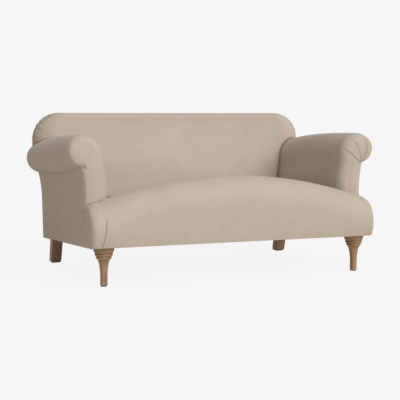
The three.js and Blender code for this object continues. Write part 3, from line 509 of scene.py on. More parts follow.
def seat_top(x, y):
    """The crowned top of the seat, falling to the arms and the rear, with round ends."""
    straight = END_HALF - END_ROUND
    flat = np.minimum(np.abs(x), straight)
    across = np.square(flat / ARM_INNER)
    back = np.maximum(0, (y - CREST_Y) / (SEAT_BACK_Y - CREST_Y))
    crown = SEAT_CREST - SEAT_PITCH_DROP * back - across * (SEAT_CROSS_DROP + SEAT_CORNER_DROP * back)
    return crown - (crown - END_WIDEST) * drawn_in((np.abs(x) - flat) / END_ROUND)


def hem_round(x):
    """How far the hem has tucked in at the seat's ends."""
    return drawn_in(np.maximum(0, np.abs(x) - END_HALF + END_TUCK) / END_TUCK)


def seat_ring(x):
    """One section of the seat at a place across it."""
    plan = max(0, abs(x) - END_HALF + END_PLAN_RADIUS) / END_PLAN_RADIUS
    front = -HALF_DEPTH + END_PLAN_RADIUS * drawn_in(plan)
    bulge = SEAT_BULGE * (1 - hem_round(x))
    nose_depth = NOSE_DEPTH * (1 - NOSE_END_SHARE * plan * plan)
    nose_end = front + nose_depth
    hem = underside_z(front + bulge)
    bottom = hem + (END_WIDEST - hem) * hem_round(x)
    nose_top = seat_top(x, nose_end)
    rise = min(NOSE_HEIGHT, (nose_top - hem) * NOSE_SHARE)
    nose_foot = max(bottom, nose_top - rise)
    turned = math.asin(min(1, (nose_foot - nose_top + rise) / rise))
    front = nose_end - nose_depth * math.cos(turned)
    foot = front + bulge
    rear_bottom = underside_z(SEAT_REAR_Y) + (END_WIDEST - underside_z(SEAT_REAR_Y)) * hem_round(x)
    coarse, fine = UNDER_SEAT_STEPS
    places = []
    for y in [*np.linspace(SEAT_REAR_Y, END_DENSE_Y, coarse)[:-1], *np.linspace(END_DENSE_Y, foot, fine)]:
        t = (SEAT_REAR_Y - y) / (SEAT_REAR_Y - foot)
        places.append((y, rear_bottom + (bottom - rear_bottom) * t))
    for t in np.linspace(0, 1, SEAT_FRONT_STEPS)[:-1]:
        places.append((front + bulge * (1 - t) ** 2, bottom + (nose_foot - bottom) * t))
    for turn in np.linspace(turned, QUARTER, NOSE_STEPS):
        places.append((nose_end - nose_depth * math.cos(turn), nose_top - rise * (1 - math.sin(turn))))
    coarse, fine = SEAT_TOP_STEPS
    rear_part = np.linspace(END_DENSE_Y, SEAT_REAR_Y, fine)
    for y in [*np.linspace(nose_end, END_DENSE_Y, coarse)[1:-1], *rear_part]:
        places.append((y, seat_top(x, y)))
    return [(x, y, z) for y, z in places]


def across_stations(straight, round_width, round_steps, dense=()):
    """Places across the sofa, closer together in the rounds and in the dense stretches."""
    half = list(evenly(0, straight, MEDIUM))
    for t in np.linspace(0, 1, round_steps)[1:]:
        half.append(straight + round_width * math.sin(QUARTER * ROUND_SHARE * t))
    for low, high in dense:
        half = [x for x in half if not low < x < high] + list(evenly(low, high, DENSE))
    half = sorted(half)
    return [-x for x in reversed(half)] + half[1:]


def swell_ends(p):
    """Sets the seat's ends flush with the panels behind a seam, and gives the painted shade in the seam's
    groove.
    """
    past = np.clip((p[:, 1] - END_SEAM_Y + END_SEAM_ROUND) / END_SEAM_ROUND, 0, 1)
    widest = BODY_HALF + CLEARANCE + (END_HALF - BODY_HALF) * np.sqrt(1 - np.square(past))
    seam = bell(p[:, 1] - END_SEAM_Y, END_SEAM_WIDTH)
    outside = np.abs(p[:, 0]) > BODY_HALF - END_SEAM_DEPTH
    limit = widest - END_SEAM_DEPTH * seam
    p[outside, 0] = np.sign(p[outside, 0]) * np.minimum(np.abs(p[outside, 0]), limit[outside])
    return seam * outside


def make_seat():
    """The seat's cover: a crowned body whose edges roll in against the arms and the back."""
    stations = across_stations(END_HALF - END_ROUND, END_ROUND, SEAT_ROUND_STEPS, [DART_STRETCH])
    seat = loft("seat_cover_cloth", [seat_ring(x) for x in stations])
    p = triples(seat.data.vertices, "co")
    painted_shade = swell_ends(p)
    nose_end = -HALF_DEPTH + NOSE_DEPTH
    on_top = p[:, 2] > seat_top(p[:, 0], np.maximum(p[:, 1], nose_end)) - SEAT_TOP_LAYER
    on_top &= p[:, 1] > -HALF_DEPTH + NOSE_DEPTH * SEAT_TOP_SHARE
    past_side = np.maximum(0, ARM_INNER - np.abs(p[:, 0]))
    past_front = np.maximum(0, END_REAR_Y - p[:, 1])
    to_arm = np.hypot(past_side, past_front)
    to_back = np.maximum(0, back_face_y(p[:, 0], p[:, 2]) - p[:, 1])
    for distance in (to_arm, to_back):
        p[on_top, 2] -= rounded_edge(distance[on_top])
        # Painted shade in the joins with the arms and the back
        painted_shade = np.maximum(painted_shade, np.exp(-distance / SEAT_CREASE_WIDTH) * on_top)
    front = p[:, 1] < nose_end
    reach, strength = fold_at(np.stack([-p[:, 0], p[:, 2]], axis=1), DART)
    depth = bell(reach, DART_HALF_WIDTH) * front * strength
    p[:, 1] += DART_DEPTH * depth
    # Painted shade in the dart's fold, as strong as the fold
    painted_shade = np.maximum(painted_shade, depth)
    p[:, 2] += unevenness(p, SEAT_WAVES) * on_top
    p[:, 1] += unevenness(p, NOSE_WAVES) * front
    set_points(seat, p)
    keep_painted_shade(seat, painted_shade)
    return seat


def seat_front_cutter():
    """The seat in front of the arms, a little grown, to cut the arms with."""
    rings = []
    for x in across_stations(END_HALF - END_ROUND, END_ROUND, SEAT_ROUND_STEPS):
        ring = np.array(seat_ring(x))
        ring[:, 0] *= (END_HALF + CLEARANCE) / END_HALF
        ring[:, 2] += np.where(ring[:, 2] > END_WIDEST, CLEARANCE, -FAR * (ring[:, 2] < END_WIDEST - FAR / 2))
        rings.append(ring)
    front = loft("seat_front_cutter", rings)
    low = (-HALF_WIDTH, END_REAR_Y + CLEARANCE, -FAR)
    cut_once(front, slab("behind", low, (HALF_WIDTH, HALF_DEPTH, HEIGHT)))
    return front


# Arms

def flare_x(y, below):
    """The body's half width at a depth below the roll's neck."""
    return BODY_HALF + (neck_x(y) - BODY_HALF) * np.square(1 - np.clip(below / FLARE_HEIGHT, 0, 1))


def arm_outline(y, inset=0.0, outer=None):
    """An arm's section, drawn in by an inset: up the inner face, over the roll and down the outside."""
    outer = inset if outer is None else outer
    x0, z0, fallen = roll_x(y), roll_z(y), roll_drop(y)
    floor = underside_z(y) + CLEARANCE
    places = [(ARM_INNER + inset, z) for z in np.linspace(floor, LEAN_FOOT, STEM_STEPS)[:-1]]
    for t in np.linspace(0, 1, LEAN_STEPS)[:-1]:
        lean = ARM_LEAN * t * t * (3 - 2 * t)
        places.append((ARM_INNER + lean + inset, LEAN_FOOT + (SHOULDER - fallen - LEAN_FOOT) * t))
    width = x0 - ARM_INNER - ARM_LEAN - inset
    rise = ROLL_TOP - SHOULDER - inset
    for t in np.linspace(0, 1, SHOULDER_STEPS):
        turn = QUARTER * t
        places.append((x0 - width * math.cos(turn), SHOULDER - fallen + rise * math.sin(turn)))
    for t in np.linspace(0, 1, ROLL_STEPS)[1:]:
        turn = QUARTER - (QUARTER + NECK_ANGLE) * t
        past = min(1, t / ROLL_BLEND_SHARE)
        radius = roll_radius(y) - inset - (outer - inset) * past * past * (3 - 2 * past)
        places.append((x0 + radius * math.cos(turn), z0 + radius * math.sin(turn)))
    for t in np.linspace(0, 1, NECK_STEPS)[1:]:
        turn = math.pi - NECK_ANGLE + NECK_ANGLE * t
        places.append((neck_x(y) + outer * math.cos(turn), neck_z(y) + outer * math.sin(turn)))
    for below in np.linspace(0, FLARE_HEIGHT, FLARE_STEPS)[1:]:
        places.append((flare_x(y, below) - outer, neck_z(y) - below))
    for z in np.linspace(neck_z(y) - FLARE_HEIGHT, floor, STEM_STEPS)[1:]:
        places.append((BODY_HALF - outer, z))
    return np.array(places)


def arm_ring(side, outline, y):
    """A ring of an arm or its panel, at one place along it or at a place for each point."""
    return np.stack([side * outline[:, 0], np.full(len(outline), y), outline[:, 1]], axis=1)


def arm_rear_ring(side, grow, reach):
    """The arm's last ring, laid on the raked rear plane and run past it by a reach."""
    outline = arm_outline(ROLL_REAR_Y, -grow)
    return arm_ring(side, outline, rear_y(outline[:, 1]) - PANEL_DEPTH + reach)


def face_spine(edge):
    """The line up the middle of an arm's front face, which ends at the scroll's centre."""
    inner = edge[:STEM_STEPS + LEAN_STEPS - 2]
    outer = edge[-(STEM_STEPS + FLARE_STEPS - 2):][::-1]
    heights = np.linspace(inner[0][1], min(inner[-1][1], outer[-1][1]), SPINE_STEPS)
    middle = (np.interp(heights, inner[:, 1], inner[:, 0]) + np.interp(heights, outer[:, 1], outer[:, 0])) / 2
    scroll = edge[len(inner) + SHOULDER_STEPS:len(edge) - len(outer)].mean(axis=0)
    return [*np.stack([middle, heights], axis=1), scroll]


def arm_body(name, side, grow=0.0, reach=0.0):
    """The whole arm as a closed body, grown and run on past the rear where it is used to cut with."""
    rings = [arm_rear_ring(side, grow, reach)]
    if reach > 0:
        rings.append(arm_rear_ring(side, grow, 0.0))
    for y in evenly(ROLL_REAR_Y - ARM_REAR_RUN, ARM_FACE_Y, COARSE):
        rings.append(arm_ring(side, arm_outline(y, -grow), y))
    for t in np.linspace(0, 1, FACE_STEPS)[1:]:
        tucked = 1 - math.cos(QUARTER * t)
        y = ARM_FACE_Y - (ARM_FACE_BULGE - ARM_FACE_CROWN + grow) * math.sin(QUARTER * t)
        edge = arm_outline(y, ARM_FACE_TUCK * tucked - grow, ARM_OUTER_TUCK * tucked - grow)
        rings.append(arm_ring(side, edge, y))
    middle, _, _ = nearest_on_line(edge, face_spine(edge))
    for t in np.linspace(0, ARM_FACE_SHARE, FACE_STEPS)[1:]:
        face_y = y - ARM_FACE_CROWN * (1 - (1 - t) ** 2)
        rings.append(arm_ring(side, edge + (middle - edge) * t, face_y))
    return loft(name, rings)


def pleat(p, n, side):
    """Draws an arm's face into its pleats and gives the painted shade along them."""
    depth = PLEAT_DEPTH if side > 0 else PLEAT_LEFT_SHARE * PLEAT_DEPTH
    painted_shade = np.zeros(len(p))
    near = np.flatnonzero(p[:, 1] < ARM_FACE_Y - PLEAT_SETBACK)
    flat = np.stack([side * p[near, 0], p[near, 2]], axis=1)
    for fold in PLEATS:
        reach, strength = fold_at(flat, fold)
        p[near] -= n[near] * (depth * (bell(reach, PLEAT_HALF_WIDTH) * strength))[:, None]
        sharp = bell(reach, PLEAT_SHADE_SHARE * PLEAT_HALF_WIDTH) * strength
        # Painted shade along each pleat, narrower than its fold
        painted_shade[near] = np.maximum(painted_shade[near], sharp * depth / PLEAT_DEPTH)
    return painted_shade


def make_arm(side, word, cutters):
    """One arm's cover, with its pleats, soft unevenness and the pucker at the neck, and painted shade in the
    pleats, in the pucker and where the back meets it.
    """
    arm = arm_body(f"arm_cover_cloth_{word}", side)
    p = triples(arm.data.vertices, "co")
    n = triples(arm.data.vertex_normals, "vector")
    outermost = np.abs(p[:, 0]) > BODY_HALF - UNDER_PANEL_DEPTH
    under_panel = outermost & (p[:, 2] < neck_z(p[:, 1]) + UNDER_PANEL_RISE)
    p += n * (unevenness(p, ARM_WAVES) * ~under_panel)[:, None]
    painted_shade = pleat(p, n, side)
    neck = np.array([side * (neck_x(ARM_FACE_Y) - PUCKER_INWARD), neck_z(ARM_FACE_Y) + PUCKER_RISE])
    reach = np.linalg.norm(p[:, [0, 2]] - neck, axis=1)
    face = p[:, 1] < ARM_FACE_Y
    p[:, 1] += PUCKER_DEPTH * bell(reach, PUCKER_WIDTH) * face
    # Painted shade in the pucker
    painted_shade = np.maximum(painted_shade, PUCKER_SHADE * bell(reach, PUCKER_SHADE_WIDTH) * face)
    # Painted shade where the back meets the arm, darker on the right arm
    to_back = np.abs(back_face_y(p[:, 0], p[:, 2]) - p[:, 1])
    inward = np.abs(p[:, 0]) < ARM_INNER + ARM_LEAN + ARM_CREASE_REACH
    painted_shade = np.maximum(painted_shade, ARM_CREASE_SHADES[side] * np.exp(-to_back / ARM_CREASE_WIDTH) * inward)
    set_points(arm, p)
    keep_painted_shade(arm, painted_shade)
    for cutter in cutters:
        cut(arm, cutter)
    return arm


def panel_rings(side, grow, reach=0.0):
    """The outside arm panel's sections, from its front to the raked rear plane."""
    rings = []
    rear_floor = underside_z(rear_y(REAR_UNDERSIDE) - PANEL_DEPTH) - grow
    inner_x = BODY_HALF - PANEL_THICKNESS - grow
    for y in [*evenly(STEP_Y - grow, ROLL_REAR_Y - ARM_REAR_RUN, COARSE), ROLL_REAR_Y]:
        belows = [PANEL_TUCK - grow, *np.linspace(0, FLARE_HEIGHT, PANEL_FLARE_STEPS)[2:]]
        outer = [(flare_x(y, b) + grow, neck_z(y) - b) for b in belows]
        inner = [(x - PANEL_THICKNESS - 2 * grow, z) for x, z in reversed(outer)]
        floor = underside_z(y) - grow if y < ROLL_REAR_Y else rear_floor
        knee = outer[-1][1]
        hem = [(BODY_HALF + grow, z) for z in np.linspace(knee, floor, PANEL_HEM_STEPS)[1:]]
        hem += [(inner_x, z) for z in np.linspace(floor, knee, PANEL_HEM_STEPS)[:-1]]
        ring = np.array([*outer, *hem, *inner])
        rings.append(arm_ring(side, ring, y if y < ROLL_REAR_Y else rear_y(ring[:, 1]) - PANEL_DEPTH))
    if reach > 0:
        rings.append(rings[-1] + np.array([0, reach, 0]))
    return rings


def skin_area(rows):
    """The area of a skin through rows of equally many points."""
    grid = np.asarray(rows)
    first = np.cross(grid[1:, :-1] - grid[:-1, :-1], grid[:-1, 1:] - grid[:-1, :-1])
    second = np.cross(grid[:-1, 1:] - grid[1:, 1:], grid[1:, :-1] - grid[1:, 1:])
    return float(np.linalg.norm(first, axis=-1).sum() + np.linalg.norm(second, axis=-1).sum()) / 2


def panel_area():
    """The flat area of an outside arm panel with its short step."""
    main = skin_area([ring[:PANEL_SKIN_POINTS] for ring in panel_rings(1, 0)])
    return main + (STEP_Y - END_REAR_Y) * (STEP_TOP - underside_z(STEP_Y))


def panel_body(name, side, grow=0.0, reach=0.0):
    """The outside arm panel as one closed body, with the short step in front of the arm."""
    main = loft(name, panel_rings(side, grow, reach))
    outer = side * (BODY_HALF + grow)
    inner = side * (BODY_HALF - PANEL_THICKNESS - grow)
    top = STEP_TOP + grow
    rings = []
    for y in evenly(END_REAR_Y + CLEARANCE - grow, STEP_Y + PANEL_THICKNESS, MEDIUM):
        floor = underside_z(y) - grow
        rings.append([(outer, y, floor), (outer, y, top), (inner, y, top), (inner, y, floor)])
    step = loft(name + "_step", rings)
    combine(main, step, "UNION")
    drop(step)
    return main


# Back

def back_top(x):
    """The back's upper outline, with round shoulders."""
    share = np.maximum(0, np.abs(x) - BACK_HALF + BACK_CORNER) / BACK_CORNER
    full = np.power(np.clip(1 - np.power(share, BACK_FULLNESS), 0, 1), 1 / BACK_FULLNESS)
    return BACK_SHOULDER + (HEIGHT - BACK_SHOULDER) * full


def back_rim_x(z):
    """How far out the back's rim lies at a height."""
    share = np.clip((z - BACK_SHOULDER) / (HEIGHT - BACK_SHOULDER), 0, 1)
    full = np.power(1 - np.power(share, BACK_FULLNESS), 1 / BACK_FULLNESS)
    return BACK_HALF - BACK_CORNER + BACK_CORNER * full


def back_face_y(x, z):
    """The back's front face, with its lumbar crown, falling away to the rim at its sides."""
    upper = HEIGHT - BACK_FRONT_ROLL
    low = np.clip((upper - z) / (upper - LUMBAR_HEIGHT), 0, 1)
    middle = 1 - np.square(np.clip(np.abs(x) / ARM_INNER, 0, 1))
    lumbar = BACK_SIDE_THICKNESS + BACK_LUMBAR * middle
    side = np.clip((np.abs(x) - back_rim_x(z)) / BACK_SIDE_ROUND + 1, 0, 1)
    full = np.power(np.clip(1 - np.power(side, BACK_SIDE_FULLNESS), 0, 1), 1 / BACK_SIDE_FULLNESS)
    rounding = BACK_SIDE_SHARE + (1 - BACK_SIDE_SHARE) * full
    blend = low * low * (3 - 2 * low)
    return rear_y(z) - (BACK_TOP_THICKNESS + (lumbar - BACK_TOP_THICKNESS) * blend) * rounding


def back_ring(x, grow=0.0):
    """One section of the back at a place across it."""
    top = float(back_top(x))
    rear_top = top - BACK_ROLL_HEIGHT
    front_top = top - BACK_FRONT_ROLL
    crown_y = rear_y(rear_top) - PANEL_DEPTH - BACK_ROLL_DEPTH
    face_top = float(back_face_y(x, front_top)) - grow
    places = [(rear_y(z) - PANEL_DEPTH, z) for z in np.linspace(BACK_FLOOR, rear_top, BACK_REAR_STEPS)]
    for t in np.linspace(0, 1, BACK_ROLL_STEPS)[1:]:
        turn = QUARTER * t
        z = rear_top + (BACK_ROLL_HEIGHT + grow) * math.sin(turn)
        places.append((crown_y + BACK_ROLL_DEPTH * math.cos(turn), z))
    for t in np.linspace(0, 1, BACK_TOP_STEPS)[1:]:
        turn = QUARTER * t
        z = front_top + (top + grow - front_top) * math.cos(turn)
        places.append((crown_y - (crown_y - face_top) * math.sin(turn), z))
    for t in np.linspace(0, 1, BACK_FACE_STEPS)[1:]:
        z = front_top + (BACK_FLOOR - front_top) * t ** BACK_FACE_POWER
        places.append((float(back_face_y(x, z)) - grow, z))
    return [(x * (BACK_HALF + grow) / BACK_HALF, y, z) for y, z in places]


def back_body(name, grow=0.0):
    """The whole back as a closed body."""
    stations = across_stations(BACK_HALF - BACK_CORNER, BACK_CORNER, BACK_ROUND_STEPS)
    return loft(name, [back_ring(x, grow) for x in stations])


def arm_distance(p):
    """Each point's distance outside the arm's section, as it is where the back rests on it."""
    outline = arm_outline(ROLL_REAR_Y - PAD_REST)[::3]
    fallen = roll_drop(p[:, 1]) - roll_drop(ROLL_REAR_Y - PAD_REST)
    flat = np.stack([np.abs(p[:, 0]), p[:, 2] + fallen], axis=1)
    _, reach, _ = nearest_on_line(flat, outline)
    return reach


def gather(p, n):
    """Draws the cloth into short pleats at the rear edge of both shoulders, and gives the painted shade in them
    and along the back's upper sides.
    """
    painted_shade = np.zeros(len(p))
    before = rear_y(p[:, 2]) - PANEL_DEPTH - p[:, 1]
    length = np.clip(GATHER_FADE - GATHER_FADE * before / GATHER_LENGTH, 0, 1)
    for side in (-1, 1):
        for share in GATHER_SHARES:
            x = BACK_HALF - BACK_CORNER + BACK_CORNER * math.sin(QUARTER * share)
            z = float(back_top(x)) - BACK_ROLL_HEIGHT * GATHER_DROP_SHARE
            flat = p[:, [0, 2]] - np.array([side * x, z])
            out = np.array([side * math.sin(QUARTER * share), math.cos(QUARTER * share)])
            across = flat @ np.array([-out[1], out[0]])
            fold = bell(across, GATHER_HALF_WIDTH) * (bell(flat @ out, GATHER_REACH) * length)
            p -= n * (GATHER_DEPTH * fold)[:, None]
            # Painted shade in each gather, as strong as its fold
            painted_shade = np.maximum(painted_shade, fold)
    # Painted shade along the back's upper sides, where they turn away from the light
    from_rim = np.maximum(0, back_rim_x(p[:, 2]) - np.abs(p[:, 0]))
    rim = RIM_SHADE * bell(from_rim, RIM_SHADE_WIDTH) * (p[:, 2] > BACK_SHOULDER - FAR)
    return np.maximum(painted_shade, rim)


def make_back(arm_cutters):
    """The back's cover, rolled in against the arms and gathered at the shoulders, with painted shade in the
    gathers, along its upper sides and where it meets the arms.
    """
    back = back_body("back_cover_cloth")
    p = triples(back.data.vertices, "co")
    n = triples(back.data.vertex_normals, "vector")
    painted_shade = gather(p, n)
    face = p[:, 1] < back_face_y(p[:, 0], p[:, 2]) + BACK_FACE_LAYER
    near = face & (np.abs(p[:, 0]) > ARM_INNER - BACK_EDGE_REACH)
    reach = np.full(len(p), 1.0)
    reach[near] = arm_distance(p[near])
    p[near, 1] += rounded_edge(reach[near])
    # Painted shade where the back meets the arms, half as dark on the left
    depth = np.where(p[:, 0] > 0, 1.0, BACK_CREASE_SHADE_LEFT)
    painted_shade = np.maximum(painted_shade, depth * np.exp(-reach / BACK_CREASE_WIDTH))
    p += n * unevenness(p, BACK_WAVES)[:, None] * face[:, None]
    set_points(back, p)
    keep_painted_shade(back, painted_shade)
    for cutter in arm_cutters:
        cut(back, cutter)
    for side in (-1, 1):
        low, high = sorted((side * roll_x(ROLL_REAR_Y), side * (BACK_HALF + FAR)))
        cut_once(back, slab("beside", (low, 0, 0), (high, HALF_DEPTH + FAR, roll_z(ROLL_REAR_Y))))
    return back


def make_posts(wood, nodes):
    """The back's posts, with their top corners cut away where the cloth rounds over them."""
    room = slab("room", (-HALF_WIDTH, 0, BACK_SHOULDER), (HALF_WIDTH, HALF_DEPTH + FAR, HEIGHT + FAR))
    cut_once(room, back_body("inside", -POST_COVER))
    for _, word in SIDES:
        node_name = f"back_post_{word}"
        shape = nodes[node_name].data
        corners = [nodes[node_name].matrix_world @ v.co for v in shape.vertices]
        post = new_object(f"back_post_wood_{word}", corners, [tuple(f.vertices) for f in shape.polygons])
        cut(post, room)
        dress(post, wood, "frame_wood", node_name)
    drop(room)


# Outside back

def outside_back_outline():
    """The rear panel's outline, from below, up both sides and over the top."""
    y = ROLL_REAR_Y
    flare_steps, corner_steps, roll_steps = REAR_PANEL_STEPS
    half = [(BODY_HALF, underside_z(rear_y(REAR_UNDERSIDE)))]
    half += [(float(flare_x(y, b)), neck_z(y) - b) for b in np.linspace(FLARE_HEIGHT, 0, flare_steps)]
    edge = []
    for t in np.linspace(1, 0, corner_steps):
        edge.append(BACK_HALF - BACK_CORNER + BACK_CORNER * math.sin(QUARTER * BACK_MEET_SHARE * t))
    meet = math.acos((edge[0] - roll_x(y)) / roll_radius(y))
    for t in np.linspace(0, 1, roll_steps)[1:]:
        turn = -NECK_ANGLE + (NECK_ANGLE + meet) * t
        x = roll_x(y) + roll_radius(y) * math.cos(turn)
        half.append((x, roll_z(y) + roll_radius(y) * math.sin(turn)))
    half += [(x, float(back_top(x)) - BACK_ROLL_HEIGHT) for x in edge]
    return half + [(-x, z) for x, z in reversed(half)]


def outside_back_area():
    """The rear panel's flat area."""
    x, z = np.array(outside_back_outline()).T
    return abs(float(x @ np.roll(z, -1) - z @ np.roll(x, -1))) / 2 / math.cos(BACK_RAKE)


def make_outside_back():
    """The panel that closes the rear, with its edge rounded over."""
    outline = outside_back_outline()
    middle = np.array([0, (HEIGHT + REAR_UNDERSIDE) / 2])
    rings = []
    for depth, inset in OUTSIDE_BACK_ROUND:
        ring = []
        for x, z in outline:
            inward = middle - np.array([x, z])
            inward /= np.linalg.norm(inward)
            x, z = np.array([x, z]) + inward * inset
            ring.append((x, rear_y(z) - depth, z))
        rings.append(ring)
    return loft("outside_back_cloth", rings)


# Legs

def lathe_profile():
    """The turned leg's outline, eased between its turning marks but sharp at its ledges."""
    marks = np.array(TURNING_SHARES, float)
    fine = []
    for low, high in zip(marks[:-1], marks[1:]):
        for t in np.linspace(0, 1, TURNING_STEPS, endpoint=False):
            fine.append(low + (high - low) * t)
    fine.append(marks[-1])
    fine = np.array(fine)
    ledge = (fine[:, 0] > LEDGE_SHARES[0]) & (fine[:, 0] < LEDGE_SHARES[1])
    eased = fine.copy()
    for _ in range(TURNING_EASINGS):
        eased[1:-1, 1] = (eased[:-2, 1] + 2 * eased[1:-1, 1] + eased[2:, 1]) / 4
    fine[~ledge, 1] = eased[~ledge, 1]
    return fine


def make_front_leg(side, word):
    """A turned front leg whose top lies along the underside."""
    height = underside_z(FRONT_LEG_Y) - GLIDE
    rings = []
    for up, out in lathe_profile():
        ring = []
        for turn in np.linspace(0, 2 * math.pi, TURNED_SIDES, endpoint=False):
            x = side * FRONT_LEG_X + FRONT_LEG_RADIUS * out * math.cos(turn)
            y = FRONT_LEG_Y + FRONT_LEG_RADIUS * out * math.sin(turn)
            ring.append((x, y, min(GLIDE + height * up, underside_z(y) - LEG_TOP_GAP)))
        rings.append(ring)
    return loft(f"leg_front_wood_{word}", rings)


def make_rear_leg(side, word):
    """A square, tapered rear leg that splays to the rear."""
    bevel = REAR_LEG_BEVEL
    rings = []
    for t in np.linspace(0, 1, REAR_LEG_RINGS):
        z = GLIDE + (REAR_UNDERSIDE - GLIDE) * t
        y = REAR_LEG_FOOT_Y + (REAR_LEG_TOP_Y - REAR_LEG_FOOT_Y) * t
        half = (REAR_LEG_FOOT + (REAR_LEG_TOP - REAR_LEG_FOOT) * t) / 2
        if t == 0:
            half -= bevel / 2
        ring = []
        for corner, (sign_x, sign_y) in enumerate(((1, 1), (-1, 1), (-1, -1), (1, -1))):
            for step in range(BEVEL_STEPS):
                turn = QUARTER * (corner + step / (BEVEL_STEPS - 1))
                px = sign_x * (half - bevel) + bevel * math.cos(turn)
                py = sign_y * (half - bevel) + bevel * math.sin(turn)
                ring.append((side * REAR_LEG_X + px, y + py, min(z, underside_z(y + py) - LEG_TOP_GAP)))
        rings.append(ring)
    return loft(f"leg_rear_wood_{word}", rings)


# Materials

def material(name):
    """A new material, its node tree and its shader."""
    made = bpy.data.materials.new(name)
    made.use_nodes = True
    return made, made.node_tree, made.node_tree.nodes["Principled BSDF"]


def node(tree, kind, **settings):
    """Adds a node with its settings."""
    made = tree.nodes.new(kind)
    for key, value in settings.items():
        setattr(made, key, value)
    return made


def fill(made, values):
    """Sets a node's inputs by their names."""
    for name, value in values.items():
        made.inputs[name].default_value = value


def stretched(tree, scale=(1, 1, 1)):
    """The object's own places, stretched by a scale along each axis."""
    place = node(tree, "ShaderNodeTexCoord")
    mapping = node(tree, "ShaderNodeMapping")
    fill(mapping, {"Scale": scale})
    tree.links.new(place.outputs["Object"], mapping.inputs["Vector"])
    return mapping.outputs["Vector"]


def noise(tree, vector, scale, detail=2.0, roughness=0.5):
    """A noise of a scale over a vector."""
    made = node(tree, "ShaderNodeTexNoise")
    fill(made, {"Scale": scale, "Detail": detail, "Roughness": roughness})
    tree.links.new(vector, made.inputs["Vector"])
    return made.outputs["Fac"]


def maths(tree, operation, first, second):
    """One sum on two values, either of them a number or a link."""
    made = node(tree, "ShaderNodeMath", operation=operation)
    for slot, value in enumerate((first, second)):
        if isinstance(value, (int, float)):
            made.inputs[slot].default_value = value
        else:
            tree.links.new(value, made.inputs[slot])
    return made.outputs[0]


def mixed(tree, factor, first, second, blend="MIX"):
    """Two colours mixed by a factor."""
    made = node(tree, "ShaderNodeMix", data_type="RGBA", blend_type=blend)
    for slot, value in (("Factor", factor), ("A", first), ("B", second)):
        sockets = [s for s in made.inputs if s.name == slot and s.enabled]
        if isinstance(value, (tuple, int, float)):
            sockets[0].default_value = value
        else:
            tree.links.new(value, sockets[0])
    return [s for s in made.outputs if s.enabled][0]


def ramp(tree, factor, stops):
    """A colour ramp through stops of place and colour."""
    made = node(tree, "ShaderNodeValToRGB")
    elements = made.color_ramp.elements
    while len(elements) < len(stops):
        elements.new(0.5)
    for element, (place, colour) in zip(elements, stops):
        element.position = place
        element.color = colour
    tree.links.new(factor, made.inputs["Fac"])
    return made.outputs["Color"]


def add_bump(tree, shader, height, strength, distance):
    """Gives a shader a fine relief from a height."""
    bump = node(tree, "ShaderNodeBump")
    fill(bump, {"Strength": strength, "Distance": distance})
    tree.links.new(height, bump.inputs["Height"])
    tree.links.new(bump.outputs["Normal"], shader.inputs["Normal"])


def fabric_material():
    """Plain woven linen: crossed threads, slubs, a soft mottle, and painted shade that darkens it in seams,
    folds and joins.
    """
    made, tree, shader = material("plain_linen")
    mottle = noise(tree, stretched(tree), MOTTLE_SCALE, 3)
    base = mixed(tree, mottle, linear(FABRIC_DARK), linear(FABRIC_COLOUR))
    lengthwise = noise(tree, stretched(tree, (1, 1, THREAD_STRETCH)), THREAD_SCALE)
    crosswise = noise(tree, stretched(tree, (THREAD_STRETCH, THREAD_STRETCH, 1)), THREAD_SCALE)
    threads = maths(tree, "ADD", lengthwise, crosswise)
    shades = [(place, (grey, grey, grey, 1.0)) for place, grey in SLUB_SHADES]
    slub = ramp(tree, maths(tree, "MULTIPLY", threads, 0.5), shades)
    base = mixed(tree, SLUB_SHARE, base, slub, "MULTIPLY")
    # Painted shade: the stored shade value darkens the base colour towards the shade colour
    painted_shade = node(tree, "ShaderNodeAttribute", attribute_name="painted_shade")
    shade_amount = maths(tree, "MULTIPLY", painted_shade.outputs["Fac"], CREASE_SHADE_SHARE)
    tree.links.new(mixed(tree, shade_amount, base, linear(CREASE_SHADE_COLOUR)), shader.inputs["Base Color"])
    fill(shader, {"Roughness": 0.95, "Specular IOR Level": 0.15})
    fill(shader, {"Sheen Weight": 0.12, "Sheen Roughness": 0.5})
    weave = maths(tree, "MULTIPLY", weave_height(tree), 0.5)
    height = maths(tree, "ADD", weave, maths(tree, "MULTIPLY", threads, 0.5))
    add_bump(tree, shader, height, 0.35, 0.6 * MM)
    return made


def weave_height(tree):
    """The crossed threads of a plain weave as a height."""
    bands = []
    for axis in ("X", "Y", "Z"):
        band = node(tree, "ShaderNodeTexWave", wave_type="BANDS", bands_direction=axis)
        fill(band, {"Scale": WEAVE_SCALE, "Distortion": 1.2, "Detail": 1})
        tree.links.new(stretched(tree), band.inputs["Vector"])
        bands.append(band.outputs["Fac"])
    return maths(tree, "MULTIPLY", maths(tree, "ADD", bands[0], bands[1]), bands[2])


def along_grain(tree, stretch, length_axis):
    """The object's own places, stretched evenly across the grain and less along it."""
    across, along = stretch
    return stretched(tree, tuple(along if axis == length_axis else across for axis in range(3)))


def wood_material(name, light, dark, length_axis=2):
    """Straight-grained satin wood with fine pores."""
    made, tree, shader = material(name)
    grain = noise(tree, along_grain(tree, GRAIN_STRETCH, length_axis), 3.0, 5, 0.62)
    pores = noise(tree, along_grain(tree, PORE_STRETCH, length_axis), 2.0)
    shade = maths(tree, "ADD", maths(tree, "MULTIPLY", grain, 0.8), maths(tree, "MULTIPLY", pores, 0.2))
    colour = ramp(tree, shade, [(0.32, linear(dark)), (0.52, linear(light)), (0.75, linear(light))])
    tree.links.new(colour, shader.inputs["Base Color"])
    fill(shader, {"Roughness": 0.5, "Specular IOR Level": 0.35})
    add_bump(tree, shader, shade, 0.15, 0.4 * MM)
    return made


